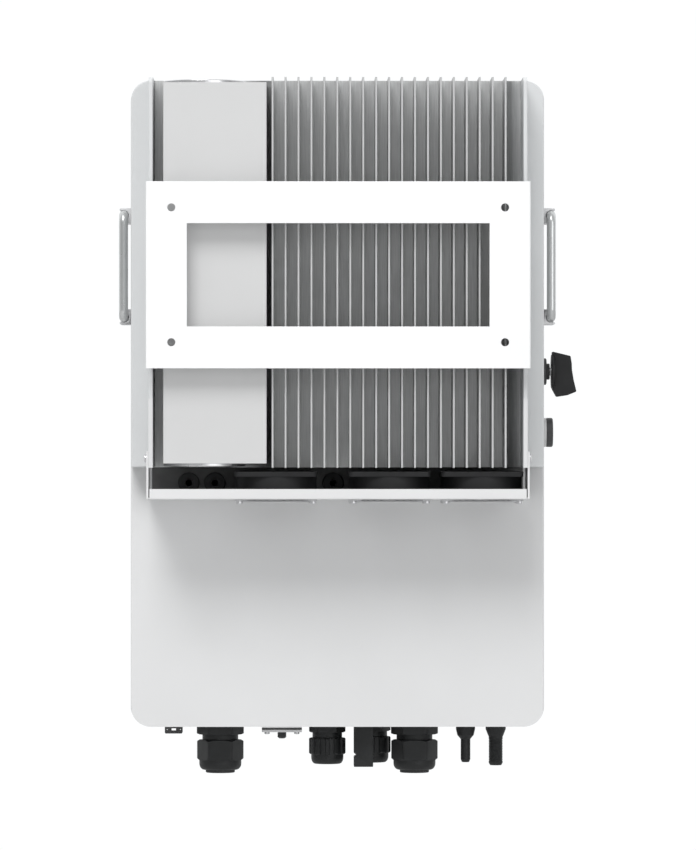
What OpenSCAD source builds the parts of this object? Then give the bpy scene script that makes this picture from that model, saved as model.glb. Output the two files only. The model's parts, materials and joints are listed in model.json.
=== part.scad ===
// Wall-hung three-phase string inverter on its wall bracket.
// +Z is up, the wall is the plane y = 0 and the front of the cabinet faces -Y.
// The origin is the middle of the bracket's bolt pattern, on the wall.
// Left and right are as seen by a person who faces the front: -X is left.

/* [Cabinet] */
// Width of the cabinet
body_w = 408; // [404:1:420]
// Height of the cabinet
body_h = 638; // [620:1:700]
// Height of the cabinet's top above the bolt pattern's middle
body_top = 194.7; // [194.7:0.1:196]
// Corner radius of the cabinet, seen from the front
corner_r = 20; // [10:1:24]
// Wall thickness of the cast housing and the covers
wall_t = 3; // [2:0.5:4]
// Distance from the wall to the front of the display bezel
front_d = 257; // [255:1:280]
// Distance from the wall to the flat lower back of the housing
back_d = 115; // [115:0.5:116]
// Distance from the wall to the seam between housing and covers
seam_d = 222; // [220:1:226]
// Height of the upper cover
cover_h = 480.7; // [470:0.1:490]

/* [Heat sink] */
// Distance from the wall to the fin tips
tip_d = 20; // [20:0.5:22]
// Distance from the wall to the heat sink's base
base_d = 85; // [84:0.5:88]
// Number of fins
fin_count = 19; // [10:1:19]
// Distance between fins
fin_pitch = 12.575; // [11:0.005:12.6]
// Thickness of a fin
fin_t = 2; // [1.5:0.1:3]
// Width of the painted frame around the heat sink
frame_w = 405.4; // [404:0.1:407]
// Outer half width of the frame's side walls
cheek_x = 184; // [184:0.1:184.2]

/* [Fans] */
// Side of a square fan
fan_w = 80; // [78:1:82]
// Thickness of a fan
fan_h = 25; // [20:1:25]
// Distance between a fan's screw holes
fan_hole_pitch = 71.5; // [70:0.5:72]
// Number of blades on a rotor
blade_count = 7; // [5:1:9]

/* [Wall bracket] */
// Width of the bracket plate
bracket_w = 372.4; // [372:0.1:374]
// Height of the bracket plate
bracket_h = 181; // [170:1:200]
// Width of the bracket's window
window_w = 293; // [250:1:300]
// Height of the bracket's window
window_h = 100; // [60:1:105]
// Distance between wall bolts, sideways
bolt_pitch_x = 323; // [320:0.5:330]
// Distance between wall bolts, up and down
bolt_pitch_z = 130.5; // [120:0.5:150]
// Diameter of the holes for the wall bolts
bolt_hole_d = 7.8; // [6:0.1:10]

/* [Handles] */
// Diameter of the handle rod
rod_d = 9; // [8:0.5:9]
// Height of the handle between the middles of its arms
handle_h = 101; // [95:1:110]
// Length of a handle's arm
arm_len = 38; // [34:1:42]

/* [Glands] */
// Size over the corners of a large gland's flange
large_gland_w = 47.3; // [44:0.1:47.4]
// Cable hole of a large gland's seal
large_cable_d = 22; // [16:1:24]
// Size over the corners of a small gland's flange
small_gland_w = 36.6; // [34:0.1:36.8]
// Cable hole of a small gland's seal
small_cable_d = 13; // [8:1:15]

/* [Hidden] */
$fn = 64;

// Small distances used all over
eps = 0.1;
running_gap = 0.05;
side_gap = 0.2;
moving_gap = 0.3;

// Cabinet
body_bottom = body_top - body_h;
cover_bottom = body_top - cover_h;
skin_d = front_d - 1.5;
gasket_t = 2;
rim_in = 1.5;
cover_d = seam_d + gasket_t;
cover_gap = 2;

// Heat sink and its frame
sink_top = 192.8;
sink_bottom = -186.9;
frame_top = 193.1;
frame_bottom = -186.8;
sink_base_t = 8;
cheek_t = 4;
cheek_in = cheek_x - cheek_t;
first_fin_x = 63.6;
// Raised seat for the power modules, and the windows that it reaches through
seat_d = back_d + 6;
seat_x = [-118, 62];
seat_z = [-42, 128];
frame_window_x = [-150, 80];
housing_window_x = 160;
window_z = [-150, 160];

// Choke can in its trough
can_x = 130.5;
can_r = 40;
can_y = -tip_d - 1.8 - can_r;
can_top = 190.6;
can_bottom = -185.7;
trough_w = 90;
trough_d = 106;

// Fans, tray and fan bay
fan_x = [60.5, -50.2, -140.4];
fan_y = -65;
tray_t = 2;
tray_z = -217.7;
fan_z = tray_z + tray_t;
fan_top = fan_z + fan_h;
fan_bore_d = 76;
hub_r = 17;
motor_h = 4.5;
fan_shaft_d = 3;
fan_screw_d = 4;
wire = 1.6;
guard_h = 2 * wire - eps;
panel_t = 3;
grommet_x = [146.6, 120.9, 4.4];
grommet_z = -202.5;
tray_screw_y = -50;
tray_screw_z = -177.9;
tray_screw_d = 4;

// Wall bracket
plate_t = 2.5;
flange_t = 2;
flange_d = 45;
flange_h = 156;
stud_d = 8;
stud_y = -30;
stud_z = 50;
slot_lift = 14;

// Handles
rod_x = 211.1;
arm_top_z = 62;
bar_y = -112;
pivot_y = bar_y - arm_len;
elbow_r = 8;
pin_d = 4;
lug_out = 215.3;
lug_h = 15.2;

// Side controls
control_y = -165;
switch_z = -92.1;
button_z = -152.7;
side = -body_w / 2;
shaft_d = 8;
knob_inner_end = side - 21;
button_d = 22;
button_hole_d = button_d + 2 * moving_gap;
plunger_d = 8;
collar_h = 4.3;

// Under the cabinet
floor_z = body_bottom;
port_y = -170;
large_gland_x = [116.4, -77.1];
small_gland_at = [[9.8, port_y], [-35.5, -196]];
plus_x = -128;
minus_x = -158.1;
vent_x = 55;
vent_w = 39.8;
vent_screw_dx = 14.8;
vent_plate_low = floor_z - 7.2;
vent_plate_high = floor_z - 4.5;
vent_pad_h = 3;
logger_x = 162.75;
logger_w = 17.5;
battery_x = -25.95;
battery_w = 19.1;

// Display
bezel_w = 144;
bezel_z = [66, 150];
view_w = 84;
view_z = [98, 138];
key_x = [-36, -12, 12, 36];
key_z = 80;
key_d = 10;
light_z = [108, 118, 128];
light_x = -56;
light_d = 4.6;
lcd_back_y = -246.4;

// Boards
board_y = -138;
board_t = 1.6;
board_face = -board_y + board_t;
board_x = [-140, 160];
board_z = [-150, 170];
board_post_x = [-130, 150];
board_post_z = [-140, 160];
control_board_y = -200;
control_half_w = 110;
control_z = [-90, 70];
control_post_x = 104;
control_post_z = [-84, 64];
screw_at = [[188, 176], [188, -30], [188, -272], [186, -306], [184, -423]];

// ---- Shapes used by several pieces ----

// Outline with rounded corners, centred
module rounded(w, h, r) {
    square([w - 2 * r, h], center = true);
    square([w, h - 2 * r], center = true);
    for (x = [-1, 1], y = [-1, 1])
        translate([x * (w / 2 - r), y * (h / 2 - r)])
            circle(r);
}

// Plate with rounded corners, from a depth behind the wall to a larger one
module plate(w, top, bottom, near, far, r) {
    translate([0, -near, (top + bottom) / 2])
        rotate([90, 0, 0])
            linear_extrude(far - near)
                rounded(w, top - bottom, r);
}

// Box given by its two corners
module box(low, high) {
    translate(low)
        cube(high - low);
}

// Cylinder along Y, from a depth behind the wall to a larger one
module peg_y(x, z, d, near, far) {
    translate([x, -near, z])
        rotate([90, 0, 0])
            cylinder(d = d, h = far - near);
}

// Cylinder along X between two places
module peg_x(y, z, d, low, high) {
    translate([low, y, z])
        rotate([0, 90, 0])
            cylinder(d = d, h = high - low);
}

// Upright cylinder between two heights
module peg_z(x, y, d, low, high) {
    translate([x, y, low])
        cylinder(d = d, h = high - low);
}

// One copy on each side of the cabinet
module both_sides() {
    children();
    mirror([1, 0, 0])
        children();
}

// Pan-head screw whose head is above z = 0 and whose shank goes down
module pan_screw(head_d, head_h, shank_d, shank_len) {
    intersection() {
        cylinder(d = head_d, h = head_h);
        translate([0, 0, head_h - head_d])
            sphere(r = head_d);
    }
    translate([0, 0, -shank_len])
        cylinder(d = shank_d, h = shank_len + eps);
}

// ---- Wall bracket ----

// Path that a stud takes into the bracket's flange, seen from the side
module stud_slot(z) {
    slot_w = stud_d + 2 * moving_gap;
    translate([stud_y, z])
        circle(d = slot_w);
    translate([stud_y - slot_w / 2, z])
        square([slot_w, slot_lift]);
    translate([-flange_d - 1, z + slot_lift - slot_w / 2])
        square([flange_d + 1 + stud_y + slot_w / 2, slot_w]);
}

module bracket_flange() {
    translate([bracket_w / 2 - flange_t, 0, 0])
        rotate([90, 0, 90])
            linear_extrude(flange_t)
                difference() {
                    translate([-flange_d, -flange_h / 2])
                        square([flange_d, flange_h]);
                    for (z = [-stud_z, stud_z])
                        stud_slot(z);
                }
}

module wall_bracket() {
    color("white") {
        difference() {
            box([-bracket_w / 2, -plate_t, -bracket_h / 2], [bracket_w / 2, 0, bracket_h / 2]);
            box([-window_w / 2, -plate_t - 1, -window_h / 2], [window_w / 2, 1, window_h / 2]);
            for (x = [-1, 1], z = [-1, 1])
                peg_y(x * bolt_pitch_x / 2, z * bolt_pitch_z / 2, bolt_hole_d, -1, plate_t + 1);
        }
        both_sides()
            bracket_flange();
    }
}

// Headed studs riveted through the frame's side walls, which hang in the slots
module hanger_studs() {
    head_t = 1.5;
    head_d = 12;
    color("silver")
        both_sides()
            for (z = [-stud_z, stud_z]) {
                peg_x(stud_y, z, stud_d, cheek_in, bracket_w / 2);
                peg_x(stud_y, z, head_d, cheek_in - head_t, cheek_in);
            }
}

// ---- Cabinet ----

// Post that takes a cover screw
module screw_post(x, z) {
    post_d = 10;
    thread_d = 3.4;
    difference() {
        peg_y(x, z, post_d, back_d + wall_t - eps, seam_d);
        peg_y(x, z, thread_d, seam_d - 16, seam_d + 1);
    }
}

module housing_holes() {
    large_thread_d = 30.4;
    small_thread_d = 22.4;
    port_thread_d = 12.4;
    neck_d = 15.8;
    vent_bore_d = 9;
    logger_bore_d = 13;
    grommet_bore_d = 14;
    low = floor_z - vent_pad_h - 1;
    high = floor_z + wall_t + 2;
    box([-housing_window_x, -back_d - wall_t - 1, window_z[0]],
        [housing_window_x, -back_d + 1, window_z[1]]);
    peg_x(control_y, switch_z, neck_d, side - 1, side + 5);
    peg_x(control_y, button_z, button_d + 2, side - 1, side + 5);
    for (x = large_gland_x)
        peg_z(x, port_y, large_thread_d, low, high);
    for (p = small_gland_at)
        peg_z(p[0], p[1], small_thread_d, low, high);
    for (x = [plus_x, minus_x])
        peg_z(x, port_y, port_thread_d, low, high);
    peg_z(vent_x, port_y, vent_bore_d, low, high);
    peg_z(logger_x, port_y, logger_bore_d, low, high);
    box([battery_x - 7, -158, low], [battery_x + 7, -140, high]);
    for (x = grommet_x)
        peg_y(x, grommet_z, grommet_bore_d, back_d - 1, back_d + wall_t + 1);
}

module main_housing() {
    rib_z = cover_bottom - cover_gap / 2;
    rib_t = 4;
    color("whitesmoke")
        difference() {
            union() {
                difference() {
                    plate(body_w, body_top, body_bottom, back_d, seam_d, corner_r);
                    plate(body_w - 2 * wall_t, body_top - wall_t, body_bottom + wall_t,
                          back_d + wall_t, seam_d + 1, corner_r - wall_t);
                }
                box([-body_w / 2 + 1, -seam_d, rib_z - rib_t / 2],
                    [body_w / 2 - 1, -back_d - 1, rib_z + rib_t / 2]);
                both_sides()
                    for (p = screw_at)
                        screw_post(p[0], p[1]);
                box([vent_x - vent_w / 2, port_y - vent_w / 2, floor_z - vent_pad_h],
                    [vent_x + vent_w / 2, port_y + vent_w / 2, floor_z + 1]);
            }
            housing_holes();
            // Cables pass from the wiring space to the boards here
            box([-120, -seam_d - 1, rib_z - rib_t], [120, -seam_d + 30, rib_z + rib_t]);
        }
}

// Outline of one cover: everything of the cabinet above or below a height
module cover_part(w, top, bottom, near, far, r, low, high) {
    intersection() {
        plate(w, top, bottom, near, far, r);
        box([-w, -far - 1, low], [w, -near + 1, high]);
    }
}

// Holes for a cover's screws
module cover_screw_holes(low, high) {
    both_sides()
        for (p = screw_at)
            if (p[1] > low && p[1] < high)
                peg_y(p[0], p[1], 4.4, skin_d - wall_t - 1, skin_d + 1);
}

module front_cover() {
    inner_far = skin_d - wall_t;
    color("white")
        difference() {
            cover_part(body_w, body_top, body_bottom, cover_d, skin_d, corner_r,
                       cover_bottom, body_top + 1);
            cover_part(body_w - 2 * wall_t, body_top - wall_t, body_bottom, cover_d - 1, inner_far,
                       corner_r - wall_t, cover_bottom + wall_t, body_top);
            box([-bezel_w / 2 + 4, -skin_d - 1, bezel_z[0] + 4],
                [bezel_w / 2 - 4, -inner_far + 1, bezel_z[1] - 4]);
            cover_screw_holes(cover_bottom, body_top);
        }
}

module wiring_cover() {
    inner_far = skin_d - wall_t;
    top = cover_bottom - cover_gap;
    color("white")
        difference() {
            cover_part(body_w, body_top, body_bottom, cover_d, skin_d, corner_r,
                       body_bottom - 1, top);
            cover_part(body_w - 2 * wall_t, body_top, body_bottom + wall_t, cover_d - 1, inner_far,
                       corner_r - wall_t, body_bottom, top - wall_t);
            cover_screw_holes(body_bottom, top);
        }
}

// Ring of rubber between the housing's rim and one cover
module cover_gasket(low, high) {
    inset = rim_in;
    w = body_w - 2 * inset;
    band = 2.2;
    difference() {
        cover_part(w, body_top - inset, body_bottom + inset, seam_d, cover_d, corner_r - inset,
                   low, high);
        cover_part(w - 2 * band, body_top - inset - band, body_bottom + inset + band,
                   seam_d - 1, cover_d + 1, corner_r - inset - band, low + band, high - band);
    }
}

module gaskets() {
    vent_hole_d = 10;
    screw_hole_d = 4.4;
    low = vent_plate_high;
    high = floor_z - vent_pad_h;
    color("dimgray") {
        cover_gasket(cover_bottom, body_top);
        cover_gasket(body_bottom, cover_bottom - cover_gap);
        difference() {
            box([vent_x - vent_w / 2, port_y - vent_w / 2, low],
                [vent_x + vent_w / 2, port_y + vent_w / 2, high]);
            peg_z(vent_x, port_y, vent_hole_d, low - 1, high + 1);
            for (x = [-1, 1])
                peg_z(vent_x + x * vent_screw_dx, port_y, screw_hole_d, low - 1, high + 1);
        }
    }
}

// Screws of both covers, the fan tray and the vent plate
module case_screws() {
    color("silver") {
        both_sides() {
            for (p = screw_at)
                translate([p[0], -skin_d, p[1]])
                    rotate([90, 0, 0])
                        pan_screw(8, 2, 3.2, skin_d - seam_d + 10);
            translate([cheek_x + side_gap + tray_t, tray_screw_y, tray_screw_z])
                rotate([0, 90, 0])
                    pan_screw(8, 3.2, tray_screw_d, tray_t + side_gap + cheek_t);
        }
        for (x = [-1, 1])
            translate([vent_x + x * vent_screw_dx, port_y, vent_plate_low])
                rotate([180, 0, 0])
                    pan_screw(5.4, 3, 3.2, 4);
    }
}

// ---- Heat sink ----

// Side wall seen from the side, with its top rear corner rounded
module cheek_outline() {
    r = 6;
    depth = base_d + sink_base_t - tip_d;
    translate([-tip_d - depth, sink_bottom])
        square([depth, sink_top - sink_bottom - r]);
    translate([-tip_d - depth, sink_bottom])
        square([depth - r, sink_top - sink_bottom]);
    translate([-tip_d - r, sink_top - r])
        circle(r);
}

module heat_sink_frame() {
    recess = base_d + sink_base_t;
    top_r = corner_r - 1.3;
    color("gainsboro") {
        difference() {
            cover_part(frame_w, frame_top, frame_bottom - 60, base_d, back_d, top_r,
                       frame_bottom, frame_top + 1);
            box([-cheek_in, -recess, sink_bottom - 5], [cheek_in, -base_d + 1, frame_top + 5]);
            box([frame_window_x[0], -back_d - 1, window_z[0]], [frame_window_x[1], -base_d, window_z[1]]);
            box([can_x - trough_w / 2 - side_gap, -trough_d - side_gap, sink_bottom - 5],
                [can_x + trough_w / 2 + side_gap, -base_d, frame_top + 5]);
        }
        both_sides()
            difference() {
                translate([cheek_in, 0, 0])
                    rotate([90, 0, 90])
                        linear_extrude(cheek_t)
                            cheek_outline();
                for (z = [-stud_z, stud_z])
                    peg_x(stud_y, z, stud_d, cheek_in - 1, cheek_x + 1);
                peg_x(tray_screw_y, tray_screw_z, tray_screw_d, cheek_in - 1, cheek_x + 1);
            }
    }
}

module heat_sink() {
    half_w = cheek_in - side_gap;
    base_back = base_d + sink_base_t;
    color("darkgray")
        difference() {
            union() {
                box([-half_w, -base_back, sink_bottom], [half_w, -base_d, sink_top]);
                box([can_x - trough_w / 2, -trough_d, sink_bottom],
                    [can_x + trough_w / 2, -base_d - 1, sink_top]);
                for (i = [0 : fin_count - 1])
                    box([first_fin_x - i * fin_pitch - fin_t / 2, -base_d - 1, sink_bottom],
                        [first_fin_x - i * fin_pitch + fin_t / 2, -tip_d, sink_top]);
                box([seat_x[0], -seat_d, seat_z[0]], [seat_x[1], -base_d - 1, seat_z[1]]);
            }
            peg_z(can_x, can_y, 2 * can_r + 0.6, sink_bottom - 1, sink_top + 1);
        }
}

// Cover over the choke can: deep towards the fins, shallow beside the frame
module choke_cover() {
    left = 69.4;
    right = 169.9;
    top = 187.5;
    bottom = -182.7;
    t = 1.5;
    shallow = 44;
    color("gainsboro") {
        box([left, -tip_d - t, bottom], [right, -tip_d, top]);
        box([left, -base_d, bottom], [left + t, -tip_d - t + eps, top]);
        box([right - t, -shallow, bottom], [right, -tip_d - t + eps, top]);
    }
}

module choke_can() {
    t = 1.2;
    color("silver")
        difference() {
            peg_z(can_x, can_y, 2 * can_r, can_bottom, can_top);
            peg_z(can_x, can_y, 2 * (can_r - t), can_bottom + 2, can_top - 2);
        }
}

// Wound ring cores stacked in the can
module chokes() {
    count = 6;
    pitch = 60;
    core_h = 46;
    outer_r = 36;
    inner_r = 15;
    color("peru")
        for (i = [0 : count - 1])
            translate([can_x, can_y, can_bottom + 9 + i * pitch])
                difference() {
                    cylinder(r = outer_r, h = core_h);
                    translate([0, 0, -1])
                        cylinder(r = inner_r, h = core_h + 2);
                }
}

// ---- Fans ----

module fan_bay_panel() {
    half_w = 183;
    grommet_hole_d = 16;
    color("darkslategray")
        difference() {
            box([-half_w, -back_d, fan_z], [half_w, -back_d + panel_t, frame_bottom - 0.3]);
            for (x = grommet_x)
                peg_y(x, grommet_z, grommet_hole_d, back_d - panel_t - 1, back_d + 1);
        }
}

module cable_grommets() {
    cable_d = 6.5;
    flange_d = 21;
    panel_face = back_d - panel_t;
    inner_end = back_d + wall_t + 2;
    color("black")
        for (x = grommet_x)
            difference() {
                union() {
                    peg_y(x, grommet_z, flange_d, panel_face - 4, panel_face);
                    peg_y(x, grommet_z, 15.6, panel_face - eps, back_d);
                    peg_y(x, grommet_z, 13.6, back_d - eps, inner_end);
                }
                peg_y(x, grommet_z, cable_d, panel_face - 5, inner_end + 1);
            }
}

// Sheet tray that carries the fans: floor, rear lip and two side arms
module fan_tray() {
    inner = cheek_x + side_gap;
    outer = inner + tray_t;
    lip_half = 183.2;
    lip_top = -207.5;
    arm_top = -171.1;
    arm_far = 84;
    floor_far = back_d - 0.5;
    color("whitesmoke") {
        difference() {
            box([-outer, -floor_far, tray_z], [outer, -tip_d - 2, tray_z + tray_t]);
            for (x = fan_x) {
                peg_z(x, fan_y, fan_bore_d, tray_z - 1, tray_z + tray_t + 1);
                for (i = [-1, 1], j = [-1, 1])
                    peg_z(x + i * fan_hole_pitch / 2, fan_y + j * fan_hole_pitch / 2, fan_screw_d + 0.3,
                          tray_z - 1, tray_z + tray_t + 1);
            }
        }
        box([-lip_half, -tip_d - 2, tray_z], [lip_half, -tip_d, lip_top]);
        both_sides()
            difference() {
                box([inner, -arm_far, tray_z], [outer, -tip_d, arm_top]);
                peg_x(tray_screw_y, tray_screw_z, tray_screw_d + 0.3, inner - 1, outer + 1);
            }
    }
}

// Edge strips on the side walls, just above the tray
module tray_strips() {
    strip_t = 1.5;
    top = -119.6;
    color("white")
        both_sides()
            box([cheek_in, -tip_d, sink_bottom], [cheek_x + side_gap, -tip_d + strip_t, top]);
}

module fan_frame(x) {
    flange_h = 5;
    duct_r = fan_bore_d / 2 + 1.6;
    strut_w = 5;
    shaft_hole_d = fan_shaft_d + 2 * running_gap;
    strut_t = 3;
    color("black")
        translate([x, fan_y, fan_z])
            difference() {
                union() {
                    difference() {
                        union() {
                            for (z = [0, fan_h - flange_h])
                                translate([0, 0, z])
                                    linear_extrude(flange_h)
                                        rounded(fan_w, fan_w, 5);
                            intersection() {
                                cylinder(r = duct_r, h = fan_h);
                                translate([-fan_w / 2, -fan_w / 2, 0])
                                    cube([fan_w, fan_w, fan_h]);
                            }
                        }
                        translate([0, 0, -1])
                            cylinder(d = fan_bore_d, h = fan_h + 2);
                    }
                    cylinder(r = hub_r, h = motor_h);
                    for (a = [45, -45])
                        rotate([0, 0, a])
                            translate([-fan_bore_d / 2 - 0.5, -strut_w / 2, 0])
                                cube([fan_bore_d + 1, strut_w, strut_t]);
                }
                translate([0, 0, 1])
                    cylinder(d = shaft_hole_d, h = motor_h);
                for (i = [-1, 1], j = [-1, 1])
                    translate([i * fan_hole_pitch / 2, j * fan_hole_pitch / 2, -1])
                        cylinder(d = fan_screw_d + 0.3, h = fan_h + 2);
            }
}

module fan_rotor(x) {
    low = motor_h + 0.6;
    top_gap = 1.5;
    hub_h = fan_h - low - top_gap;
    blade_depth = 40;
    tip_r = fan_bore_d / 2 - 1.2;
    blade_t = 1.6;
    pitch_angle = 38;
    color("dimgray")
        translate([x, fan_y, fan_z]) {
            translate([0, 0, low])
                cylinder(r = hub_r, h = hub_h);
            translate([0, 0, low - fan_shaft_d])
                cylinder(d = fan_shaft_d, h = fan_shaft_d + eps);
            intersection() {
                translate([0, 0, low])
                    difference() {
                        cylinder(r = tip_r, h = hub_h);
                        translate([0, 0, -1])
                            cylinder(r = hub_r - 1, h = hub_h + 2);
                    }
                for (i = [0 : blade_count - 1])
                    rotate([0, 0, i * 360 / blade_count])
                        translate([0, 0, low + hub_h / 2])
                            rotate([pitch_angle, 0, 0])
                                translate([hub_r - 2, -blade_depth / 2, -blade_t / 2])
                                    cube([tip_r, blade_depth, blade_t]);
            }
        }
}

// Guard under each fan: rings on two crossed bars
module finger_guards() {
    rings = [12, 21, 30, 37];
    low = tray_z - guard_h;
    tab_r = 4.5;
    tab_hole_r = 2.3;
    bar_len = fan_hole_pitch * sqrt(2) - 8;
    color("silver")
        for (x = fan_x)
            translate([x, fan_y, low]) {
                for (r = rings)
                    difference() {
                        cylinder(r = r + wire / 2, h = wire);
                        translate([0, 0, -1])
                            cylinder(r = r - wire / 2, h = wire + 2);
                    }
                for (a = [45, -45])
                    rotate([0, 0, a])
                        translate([-bar_len / 2, -wire / 2, wire - eps])
                            cube([bar_len, wire, wire]);
                for (i = [-1, 1], j = [-1, 1])
                    translate([i * fan_hole_pitch / 2, j * fan_hole_pitch / 2, wire - eps])
                        difference() {
                            cylinder(r = tab_r, h = wire);
                            translate([0, 0, -1])
                                cylinder(r = tab_hole_r, h = wire + 2);
                        }
            }
}

module fan_screws() {
    color("silver")
        for (x = fan_x, i = [-1, 1], j = [-1, 1])
            translate([x + i * fan_hole_pitch / 2, fan_y + j * fan_hole_pitch / 2, tray_z - wire])
                rotate([180, 0, 0])
                    pan_screw(7, 3, fan_screw_d, 14);
}

// ---- Handles ----

// Lug that holds the upper pivot of the right handle
module handle_lug() {
    low = arm_top_z - lug_h / 2 - 0.5;
    high = low + lug_h;
    near = -bar_y + elbow_r + 1;
    far = -pivot_y + 12;
    slot_r = rod_d / 2 + 0.4;
    side = body_w / 2;
    edge_r = 1.6;
    difference() {
        union() {
            box([side, -far, low], [lug_out - edge_r, -near, high]);
            box([side, -far, low + edge_r], [lug_out, -near, high - edge_r]);
            for (z = [low + edge_r, high - edge_r])
                peg_y(lug_out - edge_r, z, 2 * edge_r, near, far);
        }
        peg_y(rod_x, arm_top_z, 2 * slot_r, near - 1, -pivot_y + slot_r);
        box([rod_x, pivot_y - slot_r, arm_top_z - slot_r], [lug_out + 1, -near + 1, arm_top_z + slot_r]);
        peg_z(rod_x, pivot_y, pin_d, low - 1, high + 1);
    }
}

// Same thing at the lower pivot
module lower_copy() {
    translate([0, 0, 2 * arm_top_z - handle_h])
        mirror([0, 0, 1])
            children();
}

module handle_lugs() {
    color("silver")
        both_sides() {
            handle_lug();
            lower_copy()
                handle_lug();
        }
}

module handle_pin() {
    low = arm_top_z - lug_h / 2 - 0.5;
    peg_z(rod_x, pivot_y, pin_d, low, low + lug_h);
}

module handle_pins() {
    color("gray")
        both_sides() {
            handle_pin();
            lower_copy()
                handle_pin();
        }
}

// Arm and elbow at the top of a handle
module handle_arm() {
    peg_y(rod_x, arm_top_z, rod_d, -bar_y + elbow_r, -pivot_y);
    translate([rod_x, pivot_y, arm_top_z])
        sphere(d = rod_d);
    translate([rod_x, bar_y - elbow_r, arm_top_z - elbow_r])
        rotate([90, 0, 90])
            rotate_extrude(angle = 90)
                translate([elbow_r, 0])
                    circle(d = rod_d);
}

module handle() {
    color("lightgray")
        difference() {
            union() {
                handle_arm();
                lower_copy()
                    handle_arm();
                peg_z(rod_x, bar_y, rod_d, arm_top_z - handle_h + elbow_r, arm_top_z - elbow_r);
            }
            for (z = [arm_top_z, arm_top_z - handle_h])
                peg_z(rod_x, pivot_y, pin_d + 2 * running_gap, z - rod_d, z + rod_d);
        }
}

module handle_right() {
    handle();
}

module handle_left() {
    mirror([1, 0, 0])
        handle();
}

// ---- Side controls, on the left side ----

module dc_switch_flange() {
    flange_h = 4.4;
    boss_h = 7.6;
    neck_in = 5;
    color("black")
        difference() {
            union() {
                peg_x(control_y, switch_z, 26.5, side - flange_h, side);
                peg_x(control_y, switch_z, 16, side - boss_h, side - flange_h + eps);
                peg_x(control_y, switch_z, 15.6, side - eps, side + neck_in);
            }
            peg_x(control_y, switch_z, shaft_d + 2 * running_gap, side - boss_h - 1, side + neck_in + 1);
        }
}

module dc_switch_body() {
    near = side + 5;
    half = 25;
    depth = 48;
    bore_depth = 14;
    color("darkslategray")
        difference() {
            box([near, control_y - half, switch_z - half],
                [near + depth, control_y + half, switch_z + half]);
            peg_x(control_y, switch_z, shaft_d + 2 * running_gap, near - 1, near + bore_depth);
        }
}

module dc_switch_shaft() {
    color("gray")
        peg_x(control_y, switch_z, shaft_d, knob_inner_end, side + 18);
}

// Round base with a tapered grip across it
module dc_switch_knob() {
    base_x = side - 9.1;
    base_d = 35;
    base_h = 3.6;
    grip_w = 13;
    color("black")
        difference() {
            union() {
                peg_x(control_y, switch_z, base_d, base_x - base_h, base_x);
                translate([base_x, control_y + grip_w / 2, switch_z])
                    rotate([90, 0, 0])
                        linear_extrude(grip_w)
                            polygon([[-0.8, 20], [-19.2, 15.6], [-20.6, 2], [-25.1, -20],
                                     [-16, -23.6], [-5.1, -25.3], [-0.8, -17.4]]);
            }
            peg_x(control_y, switch_z, shaft_d, knob_inner_end, base_x + 1);
        }
}

// Ring around the button, between two distances from the cabinet's side
module button_ring(near, far) {
    ring_d = 29;
    difference() {
        peg_x(control_y, button_z, ring_d, side - far, side - near);
        peg_x(control_y, button_z, button_hole_d, side - far - 1, side - near + 1);
    }
}

module power_button_collar() {
    color("gainsboro")
        button_ring(0, collar_h);
}

module power_button_bezel() {
    bezel_h = 6.4;
    color("black")
        button_ring(collar_h, collar_h + bezel_h);
}

module power_button() {
    cap_out = 10.2;
    cap_in = 1;
    color("dimgray") {
        peg_x(control_y, button_z, button_d, side - cap_out, side - cap_in);
        peg_x(control_y, button_z, plunger_d, side - cap_in - eps, side + 8);
    }
}

module power_button_contact() {
    half = 14;
    near = side + wall_t + side_gap;
    recess = 1.8;
    color("darkslategray")
        difference() {
            box([near, control_y - half, button_z - half],
                [near + 33, control_y + half, button_z + half]);
            peg_x(control_y, button_z, button_hole_d, near - 1, near + recess);
            peg_x(control_y, button_z, plunger_d + 2 * moving_gap, near, near + 11);
        }
}

// ---- Connectors under the cabinet ----

// Gland body: hexagon, neck, thread into the floor and stem for the nut
module gland_body(x, y, w, hex_h, neck_d, neck_h, thread_d, stem_d, stem_h, bore_d) {
    thread_h = 14;
    hex_low = floor_z - hex_h;
    neck_low = hex_low - neck_h;
    difference() {
        union() {
            translate([x, y, hex_low])
                cylinder(d = w, h = hex_h, $fn = 6);
            peg_z(x, y, neck_d, neck_low, hex_low + eps);
            peg_z(x, y, thread_d, floor_z - eps, floor_z + thread_h);
            peg_z(x, y, stem_d, neck_low - stem_h, neck_low + eps);
        }
        peg_z(x, y, bore_d, neck_low - stem_h - 1, floor_z + thread_h + 1);
    }
}

module gland_bodies() {
    color("#2d2f2f") {
        for (x = large_gland_x)
            gland_body(x, port_y, w = large_gland_w, hex_h = 10.1, neck_d = 35.7, neck_h = 5.4,
                       thread_d = 30, stem_d = 33, stem_h = 11.5, bore_d = 24);
        for (p = small_gland_at)
            gland_body(p[0], p[1], w = small_gland_w, hex_h = 8.2, neck_d = 29.5, neck_h = 5.4,
                       thread_d = 22, stem_d = 25, stem_h = 10, bore_d = 16);
    }
}

// Round foot of a nut, with its lower edge rounded
module dome(d, h, r) {
    rotate_extrude() {
        translate([0, r])
            square([d / 2, h - r]);
        square([d / 2 - r, h]);
        translate([d / 2 - r, r])
            circle(r);
    }
}

module large_gland_nut(x) {
    top = floor_z - 15.5;
    hex_h = 20.5;
    dome_h = 9.5;
    low = top - hex_h - dome_h;
    difference() {
        union() {
            translate([x, port_y, top - hex_h])
                cylinder(d = large_gland_w - 0.6, h = hex_h, $fn = 6);
            translate([x, port_y, low])
                dome(41.9, dome_h + eps, 7);
        }
        peg_z(x, port_y, 33.4, top - 12, top + 1);
        peg_z(x, port_y, 30.8, low - 1, top - 12 + eps);
    }
}

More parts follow.
